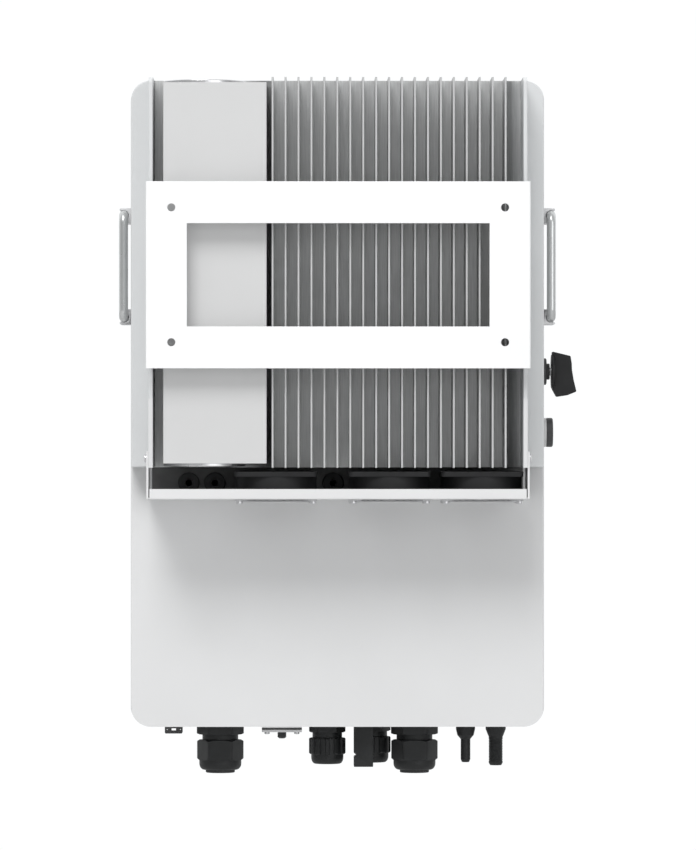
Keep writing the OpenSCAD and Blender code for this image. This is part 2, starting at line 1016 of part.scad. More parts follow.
module small_gland_nut(x, y) {
    top = floor_z - 13.6;
    grip_h = 16.5;
    dome_h = 9.5;
    low = top - grip_h - dome_h;
    ribs = 12;
    difference() {
        union() {
            peg_z(x, y, small_gland_w - 2.2, top - grip_h, top);
            for (i = [0 : ribs - 1])
                translate([x, y, top - grip_h])
                    rotate([0, 0, i * 360 / ribs])
                        translate([small_gland_w / 2 - 3, -2.6, 0])
                            cube([2.9, 5.2, grip_h]);
            translate([x, y, low])
                dome(32.1, dome_h + eps, 6);
        }
        peg_z(x, y, 25.4, top - 10.5, top + 1);
        peg_z(x, y, 22.8, low - 1, top - 10.5 + eps);
    }
}

module gland_nuts() {
    color("#333535") {
        for (x = large_gland_x)
            large_gland_nut(x);
        for (p = small_gland_at)
            small_gland_nut(p[0], p[1]);
    }
}

module gland_seal(x, y, outer_d, inner_d, low, high) {
    difference() {
        peg_z(x, y, outer_d, low, high);
        peg_z(x, y, inner_d, low - 1, high + 1);
    }
}

module gland_seals() {
    color("black") {
        for (x = large_gland_x)
            gland_seal(x, port_y, outer_d = 30.5, inner_d = large_cable_d,
                       low = floor_z - 48.2, high = floor_z - 27.6);
        for (p = small_gland_at)
            gland_seal(p[0], p[1], outer_d = 22.5, inner_d = small_cable_d,
                       low = floor_z - 39, high = floor_z - 24.2);
    }
}

// Solar input whose slim spout plugs into the cable's connector
module pv_connector_plus() {
    tip_d = 9.6;
    color("black")
        difference() {
            union() {
                peg_z(plus_x, port_y, 19.2, floor_z - 5, floor_z);
                translate([plus_x, port_y, floor_z - 11])
                    cylinder(d1 = 16.4, d2 = 19.2, h = 6 + eps);
                translate([plus_x, port_y, floor_z - 15])
                    cylinder(d1 = tip_d, d2 = 16.4, h = 4 + eps);
                peg_z(plus_x, port_y, tip_d, floor_z - 38, floor_z - 15 + eps);
                peg_z(plus_x, port_y, 12, floor_z - eps, floor_z + 14);
            }
            peg_z(plus_x, port_y, 4, floor_z - 39, floor_z + 15);
        }
}

// Solar input with a wide socket that takes the cable's plug
module pv_connector_minus() {
    tip_d = 14;
    color("black")
        difference() {
            union() {
                peg_z(minus_x, port_y, 20.2, floor_z - 5, floor_z);
                translate([minus_x, port_y, floor_z - 12])
                    cylinder(d1 = tip_d, d2 = 20.2, h = 7 + eps);
                peg_z(minus_x, port_y, tip_d, floor_z - 41, floor_z - 12 + eps);
                peg_z(minus_x, port_y, 12, floor_z - eps, floor_z + 14);
            }
            peg_z(minus_x, port_y, 10, floor_z - 42, floor_z - 14);
            peg_z(minus_x, port_y, 4, floor_z - 15, floor_z + 15);
        }
}

module battery_connector() {
    near_y = -135;
    far_y = -163;
    drop = 40.8;
    socket_d = 8;
    color("#2d2f2f")
        difference() {
            union() {
                box([battery_x - battery_w / 2, far_y, floor_z - drop],
                    [battery_x + battery_w / 2, near_y, floor_z]);
                box([battery_x - 6.8, -157.8, floor_z - eps], [battery_x + 6.8, -140.2, floor_z + 10]);
            }
            for (y = [-143, -155])
                peg_z(battery_x, y, socket_d, floor_z - drop - 1, floor_z - drop + 24);
        }
}

module logger_port() {
    drop = 9;
    slot_h = 3;
    color("black")
        difference() {
            union() {
                box([logger_x - logger_w / 2, port_y - 10, floor_z - drop],
                    [logger_x + logger_w / 2, port_y + 10, floor_z]);
                peg_z(logger_x, port_y, 12.6, floor_z - eps, floor_z + 8);
            }
            peg_z(logger_x, port_y, 9, floor_z - drop - 1, floor_z + 6);
            box([logger_x - 2.4, port_y - 11, floor_z - drop + 2.2],
                [logger_x + 2.4, port_y + 11, floor_z - drop + 2.2 + slot_h]);
        }
}

module vent_plate() {
    low = vent_plate_low;
    high = vent_plate_high;
    cap_hole_d = 7.2;
    screw_hole_d = 3.4;
    color("lightgray")
        difference() {
            box([vent_x - vent_w / 2, port_y - vent_w / 2, low],
                [vent_x + vent_w / 2, port_y + vent_w / 2, high]);
            peg_z(vent_x, port_y, cap_hole_d, low - 1, high + 1);
            for (x = [-1, 1])
                peg_z(vent_x + x * vent_screw_dx, port_y, screw_hole_d, low - 1, high + 1);
        }
}

module vent_cap() {
    cap_d = 9.1;
    cap_h = 7.1;
    stem_d = 7;
    top = vent_plate_low - 0.1;
    color("black") {
        peg_z(vent_x, port_y, cap_d, top - cap_h, top);
        peg_z(vent_x, port_y, stem_d, top - eps, floor_z + wall_t + 1);
    }
}

// ---- Display ----

module display_bezel() {
    skirt = 4.3;
    skirt_far = skin_d - 5.5;
    color("#202224")
        difference() {
            union() {
                plate(bezel_w, bezel_z[1], bezel_z[0], skin_d, front_d, 3);
                box([-bezel_w / 2 + skirt, -skin_d - eps, bezel_z[0] + skirt],
                    [bezel_w / 2 - skirt, -skirt_far, bezel_z[1] - skirt]);
            }
            box([-bezel_w / 2 + skirt + 2, -skin_d, bezel_z[0] + skirt + 2],
                [bezel_w / 2 - skirt - 2, -skirt_far + 1, bezel_z[1] - skirt - 2]);
            box([-view_w / 2, -front_d - 1, view_z[0]], [view_w / 2, -skin_d + 1, view_z[1]]);
            for (x = key_x)
                peg_y(x, key_z, key_d + 2 * moving_gap, skin_d - 1, front_d + 1);
            for (z = light_z)
                peg_y(light_x, z, light_d + 2 * side_gap, skin_d - 1, front_d + 1);
        }
}

module display_window() {
    color([0.6, 0.75, 0.8, 0.5])
        box([-view_w / 2 + 0.2, -front_d + 0.3, view_z[0] + 0.2],
            [view_w / 2 - 0.2, -skin_d + 0.3, view_z[1] - 0.2]);
}

// Display board with the glass cell on it
module lcd_module() {
    cell_y = -skin_d + 2.1;
    color("seagreen") {
        box([-64, lcd_back_y - board_t, 73], [64, lcd_back_y, 143]);
        box([-46, cell_y, 95], [46, lcd_back_y - board_t + eps, 141]);
    }
}

module status_lights() {
    color("limegreen")
        for (z = light_z)
            peg_y(light_x, z, light_d, -lcd_back_y + board_t + 0.1, front_d + 0.2);
}

module key(x) {
    collar_far = skin_d - 0.6;
    collar_near = collar_far - 1.4;
    stem_d = 4;
    stem_len = 4;
    color("lightgray") {
        peg_y(x, key_z, key_d, collar_far - eps, front_d + 0.8);
        peg_y(x, key_z, key_d + 3, collar_near, collar_far);
        peg_y(x, key_z, stem_d, collar_near - stem_len, collar_near + eps);
    }
}

// ---- Electronics ----

module power_board() {
    color("darkgreen")
        difference() {
            box([board_x[0], -board_face, board_z[0]], [board_x[1], board_y, board_z[1]]);
            for (x = board_post_x, z = board_post_z)
                peg_y(x, z, 4, -board_y - 1, board_face + 1);
        }
}

module power_modules() {
    w = 48;
    pitch = 58;
    color("black")
        for (i = [0 : 2])
            translate([seat_x[0] + 8 + i * pitch, 0, 0])
                box([0, board_y + side_gap, 0], [w, -seat_d, 90]);
}

module dc_link_capacitors() {
    first = [-100, 105];
    pitch = [36, 38];
    can_d = 32;
    len = 45;
    color("midnightblue")
        for (i = [0 : 3], j = [0 : 1])
            peg_y(first[0] + i * pitch[0], first[1] + j * pitch[1], can_d, board_face, board_face + len);
}

module relays() {
    pitch = 36;
    size = [28, 26, 30];
    color("goldenrod")
        for (i = [0 : 5])
            translate([-90 + i * pitch, -board_face - size[1], -135])
                cube(size);
}

module control_board() {
    color("green")
        box([-control_half_w, control_board_y - board_t, control_z[0]],
            [control_half_w, control_board_y, control_z[1]]);
}

module board_standoffs() {
    color("silver") {
        for (x = board_post_x, z = board_post_z)
            peg_y(x, z, 8, back_d + wall_t, -board_y);
        for (x = [-control_post_x, control_post_x], z = control_post_z)
            peg_y(x, z, 6, board_face, -control_board_y);
    }
}

// Row of grid terminals on the floor of the wiring space
module terminal_block() {
    left = -120;
    low = -392;
    near = back_d + wall_t;
    size = [100, 34, 36];
    poles = 5;
    pitch = size[0] / poles;
    entry_d = 9;
    color("dimgray")
        difference() {
            translate([left, -near - size[1], low])
                cube(size);
            for (i = [0 : poles - 1])
                peg_z(left + (i + 0.5) * pitch, -near - size[1] / 2, entry_d, low - 1, low + 20);
        }
}

wall_bracket();
hanger_studs();
main_housing();
heat_sink_frame();
heat_sink();
choke_cover();
choke_can();
chokes();
fan_bay_panel();
cable_grommets();
fan_tray();
tray_strips();
fan_frame(fan_x[0]);  // fan_frame_1
fan_frame(fan_x[1]);  // fan_frame_2
fan_frame(fan_x[2]);  // fan_frame_3
finger_guards();
fan_screws();
case_screws();
handle_lugs();
handle_pins();
dc_switch_flange();
dc_switch_body();
power_button_collar();
power_button_bezel();
power_button_contact();
gland_bodies();
gland_nuts();
gland_seals();
pv_connector_plus();
pv_connector_minus();
battery_connector();
logger_port();
vent_plate();
vent_cap();
gaskets();
front_cover();
wiring_cover();
display_bezel();
display_window();
lcd_module();
status_lights();
power_board();
power_modules();
dc_link_capacitors();
relays();
control_board();
board_standoffs();
terminal_block();
handle_left();
handle_right();
dc_switch_knob();
dc_switch_shaft();
power_button();
key(key_x[0]);  // key_1
key(key_x[1]);  // key_2
key(key_x[2]);  // key_3
key(key_x[3]);  // key_4
fan_rotor(fan_x[0]);  // fan_rotor_1
fan_rotor(fan_x[1]);  // fan_rotor_2
fan_rotor(fan_x[2]);  // fan_rotor_3
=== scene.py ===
import json
from math import atan2, copysign, cos, pi, radians, sin, tan

import bmesh
import bpy
from mathutils import Matrix, Vector


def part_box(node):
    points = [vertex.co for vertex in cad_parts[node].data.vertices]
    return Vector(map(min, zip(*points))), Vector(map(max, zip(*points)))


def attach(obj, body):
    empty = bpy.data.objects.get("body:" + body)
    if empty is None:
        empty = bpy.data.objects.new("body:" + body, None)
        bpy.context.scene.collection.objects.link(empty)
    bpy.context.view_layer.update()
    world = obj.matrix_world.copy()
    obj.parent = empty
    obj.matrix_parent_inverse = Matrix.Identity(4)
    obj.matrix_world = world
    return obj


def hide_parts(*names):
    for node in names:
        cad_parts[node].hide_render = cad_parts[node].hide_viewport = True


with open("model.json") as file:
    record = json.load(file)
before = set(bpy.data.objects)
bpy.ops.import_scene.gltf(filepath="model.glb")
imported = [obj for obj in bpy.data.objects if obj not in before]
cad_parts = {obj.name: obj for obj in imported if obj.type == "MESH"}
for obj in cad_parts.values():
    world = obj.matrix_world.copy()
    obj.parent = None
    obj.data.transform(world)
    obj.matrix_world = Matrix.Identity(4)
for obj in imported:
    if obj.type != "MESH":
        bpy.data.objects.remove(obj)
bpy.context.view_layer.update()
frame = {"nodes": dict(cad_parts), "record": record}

# Wall-hung string inverter: the looks of every piece, the light and the camera.
# Lengths are metres; MM turns millimetres into metres. +Z is up and the wall is y = 0.
MM = 0.001
SMOOTH_ANGLE = radians(35)
FLAT_ANGLE = radians(0.4)
MERGE_GAP = 0.002 * MM


def mm(*values):
    """Millimetre values in metres."""
    return [value * MM for value in values]


# ---- Camera ----


def make_camera():
    """A long lens straight behind the cabinet, a little to its right."""
    data = bpy.data.cameras.new("camera")
    data.lens = 245.8
    data.sensor_width = 36.0
    data.clip_start = 0.05
    data.clip_end = 60.0
    camera = bpy.data.objects.new("camera", data)
    bpy.context.scene.collection.objects.link(camera)
    target = Vector((-0.0104, -0.115, -0.1453))
    camera.location = (0.037, 5.615, target.z)
    camera.rotation_euler = (target - camera.location).to_track_quat("-Z", "Y").to_euler()
    bpy.context.scene.camera = camera


# ---- Materials ----


def add_node(tree, kind, settings=(), **inputs):
    """A new node with its settings, and with inputs set to values or linked to outputs."""
    node = tree.nodes.new(kind)
    for name, value in dict(settings).items():
        setattr(node, name, value)
    for name, value in inputs.items():
        socket = node.inputs[name.replace("_", " ")]
        if isinstance(value, bpy.types.NodeSocket):
            tree.links.new(value, socket)
        else:
            socket.default_value = value
    return node


class Finish:
    """A procedural material: one Principled shader and the nodes that feed it."""

    def __init__(self, name, color, roughness, metallic=0.0, **sockets):
        self.mat = bpy.data.materials.new(name)
        self.mat.use_nodes = True
        self.tree = self.mat.node_tree
        self.shader = self.tree.nodes["Principled BSDF"]
        self.color = color
        self.shader.inputs["Base Color"].default_value = (*color, 1.0)
        self.shader.inputs["Roughness"].default_value = roughness
        self.shader.inputs["Metallic"].default_value = metallic
        for socket, value in sockets.items():
            self.shader.inputs[socket.replace("_", " ")].default_value = value
        self.coord = self.tree.nodes.new("ShaderNodeTexCoord")
        self.bump_out = None

    def noise(self, scale, detail=3.0, stretch=(1.0, 1.0, 1.0)):
        """Noise in object space; scale is in cells per metre."""
        mapping = add_node(self.tree, "ShaderNodeMapping", Scale=stretch,
                           Vector=self.coord.outputs["Object"])
        noise = add_node(self.tree, "ShaderNodeTexNoise", Scale=scale, Detail=detail,
                         Vector=mapping.outputs["Vector"])
        return noise.outputs["Fac"]

    def mottle(self, source, darker, lighter, low=0.35, high=0.65):
        """The base colour drifts between a darker and a lighter shade of itself."""
        ramp = add_node(self.tree, "ShaderNodeValToRGB", Fac=source)
        for stop, place, tint in zip(ramp.color_ramp.elements, (low, high), (darker, lighter)):
            stop.position = place
            stop.color = (*(min(1.0, c * tint) for c in self.color), 1.0)
        self.tree.links.new(ramp.outputs["Color"], self.shader.inputs["Base Color"])

    def vary_roughness(self, source, low, high):
        """Roughness between low and high."""
        ranged = add_node(self.tree, "ShaderNodeMapRange", Value=source, To_Min=low, To_Max=high)
        self.tree.links.new(ranged.outputs["Result"], self.shader.inputs["Roughness"])

    def bump(self, source, height, strength=1.0):
        """Relief of that height in metres, on top of any relief made before."""
        bump = add_node(self.tree, "ShaderNodeBump", Distance=height, Strength=strength,
                        Height=source)
        if self.bump_out:
            self.tree.links.new(self.bump_out, bump.inputs["Normal"])
        self.bump_out = bump.outputs["Normal"]
        self.tree.links.new(self.bump_out, self.shader.inputs["Normal"])


def powder_coat(name, color, roughness=0.5, grain=700.0, height=0.05 * MM):
    """Painted sheet or casting: orange peel, faint drift of shade and gloss."""
    finish = Finish(name, color, roughness, Specular_IOR_Level=0.35)
    finish.mottle(finish.noise(9.0), 0.985, 1.01)
    finish.vary_roughness(finish.noise(25.0), roughness - 0.06, roughness + 0.06)
    finish.bump(finish.noise(grain, 2.0), height, 0.6)
    return finish.mat


def drawn_metal(name, color, roughness, along):
    """Bare metal with fine lines along one axis, from drawing, extruding or brushing."""
    finish = Finish(name, color, roughness, metallic=1.0)
    stretch = tuple(0.02 if axis == along else 1.0 for axis in "xyz")
    lines = finish.noise(1400.0, 4.0, stretch)
    finish.mottle(lines, 0.93, 1.04)
    finish.vary_roughness(finish.noise(160.0, 3.0), roughness - 0.05, roughness + 0.08)
    finish.bump(lines, 0.02 * MM, 0.5)
    return finish.mat


def fin_metal(name, color, highlight_color, tip_y):
    """Bare extruded aluminium with fine upright lines, and a painted highlight along the fin
    tips: a less metallic band in its own colour that looks lighter.
    """
    highlight_depth = 0.7 * MM
    metallic, tip_metallic = 0.85, 0.3
    finish = Finish(name, color, 0.4, metallic)
    tree = finish.tree
    lines = finish.noise(1400.0, 4.0, (1.0, 1.0, 0.02))
    finish.mottle(lines, 0.9, 1.06)
    finish.vary_roughness(finish.noise(160.0), 0.36, 0.5)
    finish.bump(lines, 0.02 * MM, 0.4)
    axes = add_node(tree, "ShaderNodeSeparateXYZ", Vector=finish.coord.outputs["Object"])
    # Painted highlight: a thin band at the fin tips takes its own colour and turns less metallic,
    # so the tips look lit
    tip = add_node(tree, "ShaderNodeMapRange", Value=axes.outputs["Y"],
                   From_Min=tip_y - highlight_depth, From_Max=tip_y).outputs["Result"]
    plain = finish.shader.inputs["Base Color"].links[0].from_socket
    painted_tip_highlight = add_node(tree, "ShaderNodeMix", {"data_type": "RGBA"}, Factor=tip, A=plain,
                      B=(*highlight_color, 1.0))
    metal = add_node(tree, "ShaderNodeMapRange", Value=tip, To_Min=metallic,
                     To_Max=tip_metallic)
    tree.links.new(painted_tip_highlight.outputs["Result"], finish.shader.inputs["Base Color"])
    tree.links.new(metal.outputs["Result"], finish.shader.inputs["Metallic"])
    return finish.mat


def blasted_metal(name, color, roughness, metallic=0.9):
    """Plated or blasted metal with no direction."""
    finish = Finish(name, color, roughness, metallic)
    finish.mottle(finish.noise(60.0, 3.0), 0.96, 1.02)
    finish.vary_roughness(finish.noise(150.0), roughness - 0.03, roughness + 0.05)
    finish.bump(finish.noise(2200.0, 2.0), 0.003 * MM, 0.5)
    return finish.mat


def moulded(name, color, roughness, grain=1800.0, height=0.03 * MM, specular=0.5):
    """Moulded plastic or rubber with a fine spark-eroded grain."""
    finish = Finish(name, color, roughness, Specular_IOR_Level=specular)
    finish.mottle(finish.noise(60.0), 0.88, 1.12)
    finish.vary_roughness(finish.noise(200.0), roughness - 0.05, roughness + 0.05)
    finish.bump(finish.noise(grain, 2.0), height, 0.5)
    return finish.mat


def circuit_board(name, color):
    """Solder mask with copper tracks that shine through as a lighter green."""
    finish = Finish(name, color, 0.4)
    tracks = add_node(finish.tree, "ShaderNodeTexVoronoi",
                      {"feature": "DISTANCE_TO_EDGE", "distance": "MANHATTAN"},
                      Scale=140.0, Vector=finish.coord.outputs["Object"])
    finish.mottle(tracks.outputs["Distance"], 1.6, 0.9, 0.05, 0.12)
    finish.bump(finish.noise(500.0), 0.02 * MM, 0.5)
    return finish.mat


def windings(name, color):
    """Enamelled wire laid side by side over the ring cores."""
    finish = Finish(name, color, 0.3, 0.7)
    wires = add_node(finish.tree, "ShaderNodeTexWave", {"bands_direction": "Z"},
                     Scale=120.0, Vector=finish.coord.outputs["Object"])
    finish.mottle(wires.outputs["Fac"], 0.6, 1.1, 0.2, 0.8)
    finish.bump(wires.outputs["Fac"], 0.4 * MM, 0.8)
    return finish.mat


def clear(name, color, roughness, **sockets):
    """Clear glass or plastic, with a trace of haze."""
    finish = Finish(name, color, roughness, **sockets)
    finish.vary_roughness(finish.noise(80.0), roughness, roughness + 0.05)
    finish.bump(finish.noise(30.0), 0.01 * MM, 0.3)
    return finish.mat


def make_materials():
    """One material for each of the record's slots, by slot name."""
    fin_tips_y = -20.5 * MM
    made = {}

    def add(maker, name, *args, **sockets):
        made[name] = maker(name, *args, **sockets)

    add(powder_coat, "white_plate", (0.95, 0.95, 0.955), 0.45)
    add(powder_coat, "cabinet_paint", (0.73, 0.731, 0.734), 0.5)
    add(powder_coat, "frame_paint", (0.68, 0.69, 0.695), 0.5, 520.0, 0.07 * MM)
    add(powder_coat, "tray_coat", (0.76, 0.76, 0.763), 0.45)
    add(powder_coat, "strip_coat", (0.70, 0.70, 0.705), 0.5)
    add(blasted_metal, "lug_cast", (0.80, 0.80, 0.81), 0.4, 0.4)
    add(moulded, "panel_grey", (0.10, 0.10, 0.10), 0.55)
    add(powder_coat, "sheet_grey", (0.645, 0.645, 0.645), 0.42)
    # Fin aluminium, with the colour of the painted highlight along its fin tips
    add(fin_metal, "fin_aluminium", (0.70, 0.705, 0.705), (0.58, 0.585, 0.585), fin_tips_y)
    add(drawn_metal, "bright_can", (0.74, 0.74, 0.75), 0.28, "z")
    add(windings, "copper_winding", (0.60, 0.28, 0.12))
    add(blasted_metal, "steel", (0.66, 0.66, 0.67), 0.32)
    add(blasted_metal, "wire", (0.60, 0.60, 0.61), 0.3)
    add(blasted_metal, "handle_metal", (0.62, 0.63, 0.63), 0.28)
    add(moulded, "black_plastic", (0.048, 0.048, 0.050), 0.5)
    add(moulded, "fan_plastic", (0.014, 0.014, 0.015), 0.55, specular=0.3)
    add(moulded, "gland_nylon", (0.014, 0.015, 0.0155), 0.5, specular=0.35)
    add(moulded, "knob_black", (0.014, 0.014, 0.015), 0.5, specular=0.35)
    add(moulded, "bezel_black", (0.012, 0.012, 0.013), 0.15, 900.0, 0.01 * MM)
    add(moulded, "key_grey", (0.36, 0.37, 0.38), 0.5)
    add(moulded, "collar_plastic", (0.62, 0.62, 0.62), 0.35)
    add(moulded, "rubber", (0.030, 0.030, 0.031), 0.65, 1200.0, 0.04 * MM, 0.4)
    add(clear, "window_glass", (0.75, 0.82, 0.84), 0.03, Transmission_Weight=0.9, IOR=1.49)
    add(clear, "light_pipe", (0.25, 0.60, 0.28), 0.12, Transmission_Weight=0.3)
    add(circuit_board, "circuit_board", (0.03, 0.16, 0.08))
    add(moulded, "capacitor_sleeve", (0.02, 0.03, 0.10), 0.25)
    add(moulded, "relay_case", (0.70, 0.36, 0.06), 0.3)
    add(moulded, "terminal_grey", (0.18, 0.19, 0.20), 0.5)
    return made


MATERIALS = make_materials()
SLOT_OF = {part["node"]: part["material_slot"] for part in frame["record"]["subparts"]}
BODY_OF = {node: body for body, nodes in frame["record"]["behaviour"]["bodies"].items()
           for node in nodes}

# ---- Mesh helpers ----


def shade(obj):
    """Smooth shading that stays crisp at edges steeper than SMOOTH_ANGLE."""
    obj.data.shade_smooth()
    obj.data.set_sharp_from_angle(angle=SMOOTH_ANGLE)


def split_big_faces(bm):
    """Turns faces with many corners into triangles."""
    big = [face for face in bm.faces if len(face.verts) > 4]
    bmesh.ops.triangulate(bm, faces=big, ngon_method="EAR_CLIP")


def to_object(name, bm, material, split=True):
    """A new object from a bmesh, with outward normals and smooth shading. With split=False its
    many-cornered faces stay whole, so that their full area counts in the shading."""
    bmesh.ops.recalc_face_normals(bm, faces=bm.faces)
    if split:
        split_big_faces(bm)
    mesh = bpy.data.meshes.new(name)
    bm.to_mesh(mesh)
    bm.free()
    mesh.materials.append(material)
    obj = bpy.data.objects.new(name, mesh)
    bpy.context.scene.collection.objects.link(obj)
    shade(obj)
    return obj


def finish_piece(obj, *nodes):
    """The object stands for these CAD nodes: it takes their place and body."""
    # Flat faces keep their own normals, so that only the rounded edges look round
    flatten = obj.modifiers.new("flatten", "WEIGHTED_NORMAL")
    flatten.keep_sharp = True
    # Faces that are still whole are split last, with the normals found above
    split = obj.modifiers.new("split", "TRIANGULATE")
    split.min_vertices = 5
    split.ngon_method = "CLIP"
    split.keep_custom_normals = True
    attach(obj, BODY_OF[nodes[0]])
    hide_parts(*nodes)


def new_piece(name, bm, *nodes, finish=None, split=True):
    """A finished piece made of a bmesh in place of CAD nodes, in its slot's material."""
    material = MATERIALS[finish or SLOT_OF[nodes[0]]]
    finish_piece(to_object(name, bm, material, split), *nodes)


def merged(node):
    """The node's own surface with its doubled vertices merged."""
    bm = bmesh.new()
    bm.from_mesh(frame["nodes"][node].data)
    bmesh.ops.remove_doubles(bm, verts=bm.verts, dist=MERGE_GAP)
    return bm


def cad_copy(node):
    """The node's own surface with its flat faces made whole."""
    bm = merged(node)
    bmesh.ops.dissolve_limit(bm, angle_limit=FLAT_ANGLE, verts=bm.verts, edges=bm.edges)
    return bm


def round_edges(bm, radius, steps=2, where=None, min_angle=28.0):
    """Rounds the outward edges sharper than min_angle that where() accepts."""
    limit = radians(min_angle)
    edges = [e for e in bm.edges
             if len(e.link_faces) == 2 and e.calc_face_angle(0.0) > limit
             and e.is_convex and (where is None or where(e))]
    if edges:
        bmesh.ops.bevel(bm, geom=edges, offset=radius, offset_type="OFFSET", segments=steps,
                        profile=0.5, affect="EDGES", clamp_overlap=False)


def middle(edge):
    """Midpoint of an edge."""
    return (edge.verts[0].co + edge.verts[1].co) / 2


def islands(node):
    """(lowest corner, highest corner, centre) of each separate solid, from -X to +X."""
    bm = merged(node)
    waiting = set(bm.verts)
    boxes = []
    while waiting:
        group = [waiting.pop()]
        for vert in group:
            for edge in vert.link_edges:
                other = edge.other_vert(vert)
                if other in waiting:
                    waiting.remove(other)
                    group.append(other)
        low = Vector([min(v.co[i] for v in group) for i in range(3)])
        high = Vector([max(v.co[i] for v in group) for i in range(3)])
        boxes.append((low, high, (low + high) / 2))
    bm.free()
    return sorted(boxes, key=lambda b: (round(b[0].x, 4), round(b[0].y, 4), b[0].z))


def fillet(points, radius, steps=4, closed=False):
    """An outline with its corners turned into arcs; one radius, or one for each corner."""
    out = []
    count = len(points)
    nearly_straight = radians(88)
    for i, point in enumerate(points):
        corner = Vector(point)
        r = radius[i] if isinstance(radius, (list, tuple)) else radius
        if r <= 0 or (not closed and i in (0, count - 1)):
            out.append(corner)
            continue
        before = Vector(points[i - 1]) - corner
        after = Vector(points[(i + 1) % count]) - corner
        half = before.angle(after) / 2
        if half > nearly_straight:
            out.append(corner)
            continue
        reach = min(r / tan(half), 0.49 * before.length, 0.49 * after.length)
        r = reach * tan(half)
        start = corner + before.normalized() * reach
        end = corner + after.normalized() * reach
        inwards = (before.normalized() + after.normalized()).normalized()
        centre = corner + inwards * r / sin(half)
        for k in range(steps + 1):
            out.append(centre + (start.lerp(end, k / steps) - centre).normalized() * r)
    return out


def revolve(bm, profile, segments=64, place=Matrix.Identity(4), closed=False):
    """Turns a profile of (radius, height) about the local Z axis. A radius may be a function
    of the angle. An open profile is capped where it doesn't start or end on the axis."""
    on_axis = 1e-7
    rings = []
    for radius, height in profile:
        if not callable(radius) and radius < on_axis:
            rings.append([bm.verts.new(place @ Vector((0, 0, height)))])
            continue
        ring = []
        for k in range(segments):
            angle = 2 * pi * k / segments
            r = radius(angle) if callable(radius) else radius
            point = Vector((r * cos(angle), r * sin(angle), height))
            ring.append(bm.verts.new(place @ point))
        rings.append(ring)
    pairs = list(zip(rings, rings[1:]))
    if closed:
        pairs.append((rings[-1], rings[0]))
    for a, b in pairs:
        for k in range(segments):
            n = (k + 1) % segments
            if len(a) == 1 and len(b) == 1:
                break
            if len(a) == 1:
                bm.faces.new((a[0], b[n], b[k]))
            elif len(b) == 1:
                bm.faces.new((a[k], a[n], b[0]))
            else:
                bm.faces.new((a[k], a[n], b[n], b[k]))
    if not closed:
        for ring in (rings[0], rings[-1]):
            if len(ring) > 1:
                bm.faces.new(ring)


def tube(bm, path, radius, sides=12, closed=False):
    """A round wire along a path, without twist; one radius, or one for each point."""
    points = [Vector(p) for p in path]
    count = len(points)
    radii = radius if isinstance(radius, list) else [radius] * count
    rings = []
    normal = None
    for i, point in enumerate(points):
        ahead = points[(i + 1) % count] if closed or i < count - 1 else point
        behind = points[i - 1] if closed or i > 0 else point
        along = (ahead - behind).normalized()
        if normal is None:
            normal = along.orthogonal().normalized()
        normal = (normal - along * normal.dot(along)).normalized()
        side = along.cross(normal)
        rings.append([bm.verts.new(point + radii[i] * (normal * cos(a) + side * sin(a)))
                      for a in (2 * pi * k / sides for k in range(sides))])
    pairs = list(zip(rings, rings[1:]))
    if closed:
        shift = min(range(sides), key=lambda s: (rings[0][s].co - rings[-1][0].co).length)
        pairs.append((rings[-1], rings[0][shift:] + rings[0][:shift]))
    for a, b in pairs:
        for k in range(sides):
            n = (k + 1) % sides
            bm.faces.new((a[k], a[n], b[n], b[k]))
    if not closed:
        bm.faces.new(rings[0])
        bm.faces.new(rings[-1])


def circle_path(centre, radius, count, start=0.0, turn=2 * pi):
    """Points on a level arc; a full turn leaves out the repeated last point."""
    steps = count if turn >= 2 * pi else count - 1
    return [Vector(centre) + Vector((radius * cos(start + turn * k / steps),
                                     radius * sin(start + turn * k / steps), 0))
            for k in range(count)]


def prism(bm, outline, low, high, to_point):
    """A closed outline pushed along its normal; to_point maps (u, v, depth) to the frame."""
    near = [bm.verts.new(to_point(p[0], p[1], low)) for p in outline]
    far = [bm.verts.new(to_point(p[0], p[1], high)) for p in outline]
    bm.faces.new(near)
    bm.faces.new(far)
    for k in range(len(outline)):
        n = (k + 1) % len(outline)
        bm.faces.new((near[k], near[n], far[n], far[k]))


def add_box(bm, low, high):
    """A block between two corners."""
    corners = [bm.verts.new((x, y, z)) for x in (low[0], high[0]) for y in (low[1], high[1])
               for z in (low[2], high[2])]
    for ids in ((0, 1, 3, 2), (4, 6, 7, 5), (0, 4, 5, 1), (2, 3, 7, 6), (0, 2, 6, 4),
                (1, 5, 7, 3)):
        bm.faces.new([corners[i] for i in ids])


def boolean(target, operation, *cutters):
    """Applies boolean cuts or joins by bmeshes to an object's mesh."""
    for cutter in cutters:
        tool = to_object("tool", cutter, MATERIALS["black_plastic"])
        modifier = target.modifiers.new("cut", "BOOLEAN")
        modifier.operation = operation
        modifier.solver = "EXACT"
        modifier.object = tool
        deps = bpy.context.evaluated_depsgraph_get()
        mesh = bpy.data.meshes.new_from_object(target.evaluated_get(deps))
        target.modifiers.clear()
        old = target.data
        target.data = mesh
        mesh.name = target.name
        bpy.data.meshes.remove(old)
        bpy.data.objects.remove(tool)
    whole = bmesh.new()
    whole.from_mesh(target.data)
    split_big_faces(whole)
    whole.to_mesh(target.data)
    whole.free()
    while len(target.data.materials) > 1:
        target.data.materials.pop(index=len(target.data.materials) - 1)
    shade(target)
    return target


def turned(*args):
    """A bmesh made by revolve()."""
    bm = bmesh.new()
    revolve(bm, *args)
    return bm


def axis_matrix(origin, direction):
    """Places a shape made along +Z at the origin so that it points along a direction."""
    turn = Vector((0, 0, 1)).rotation_difference(Vector(direction)).to_matrix().to_4x4()
    return Matrix.Translation(origin) @ turn


def upright(centre):
    """Places a shape made about Z = 0 on a vertical axis through the centre."""
    return Matrix.Translation((centre.x, centre.y, 0))


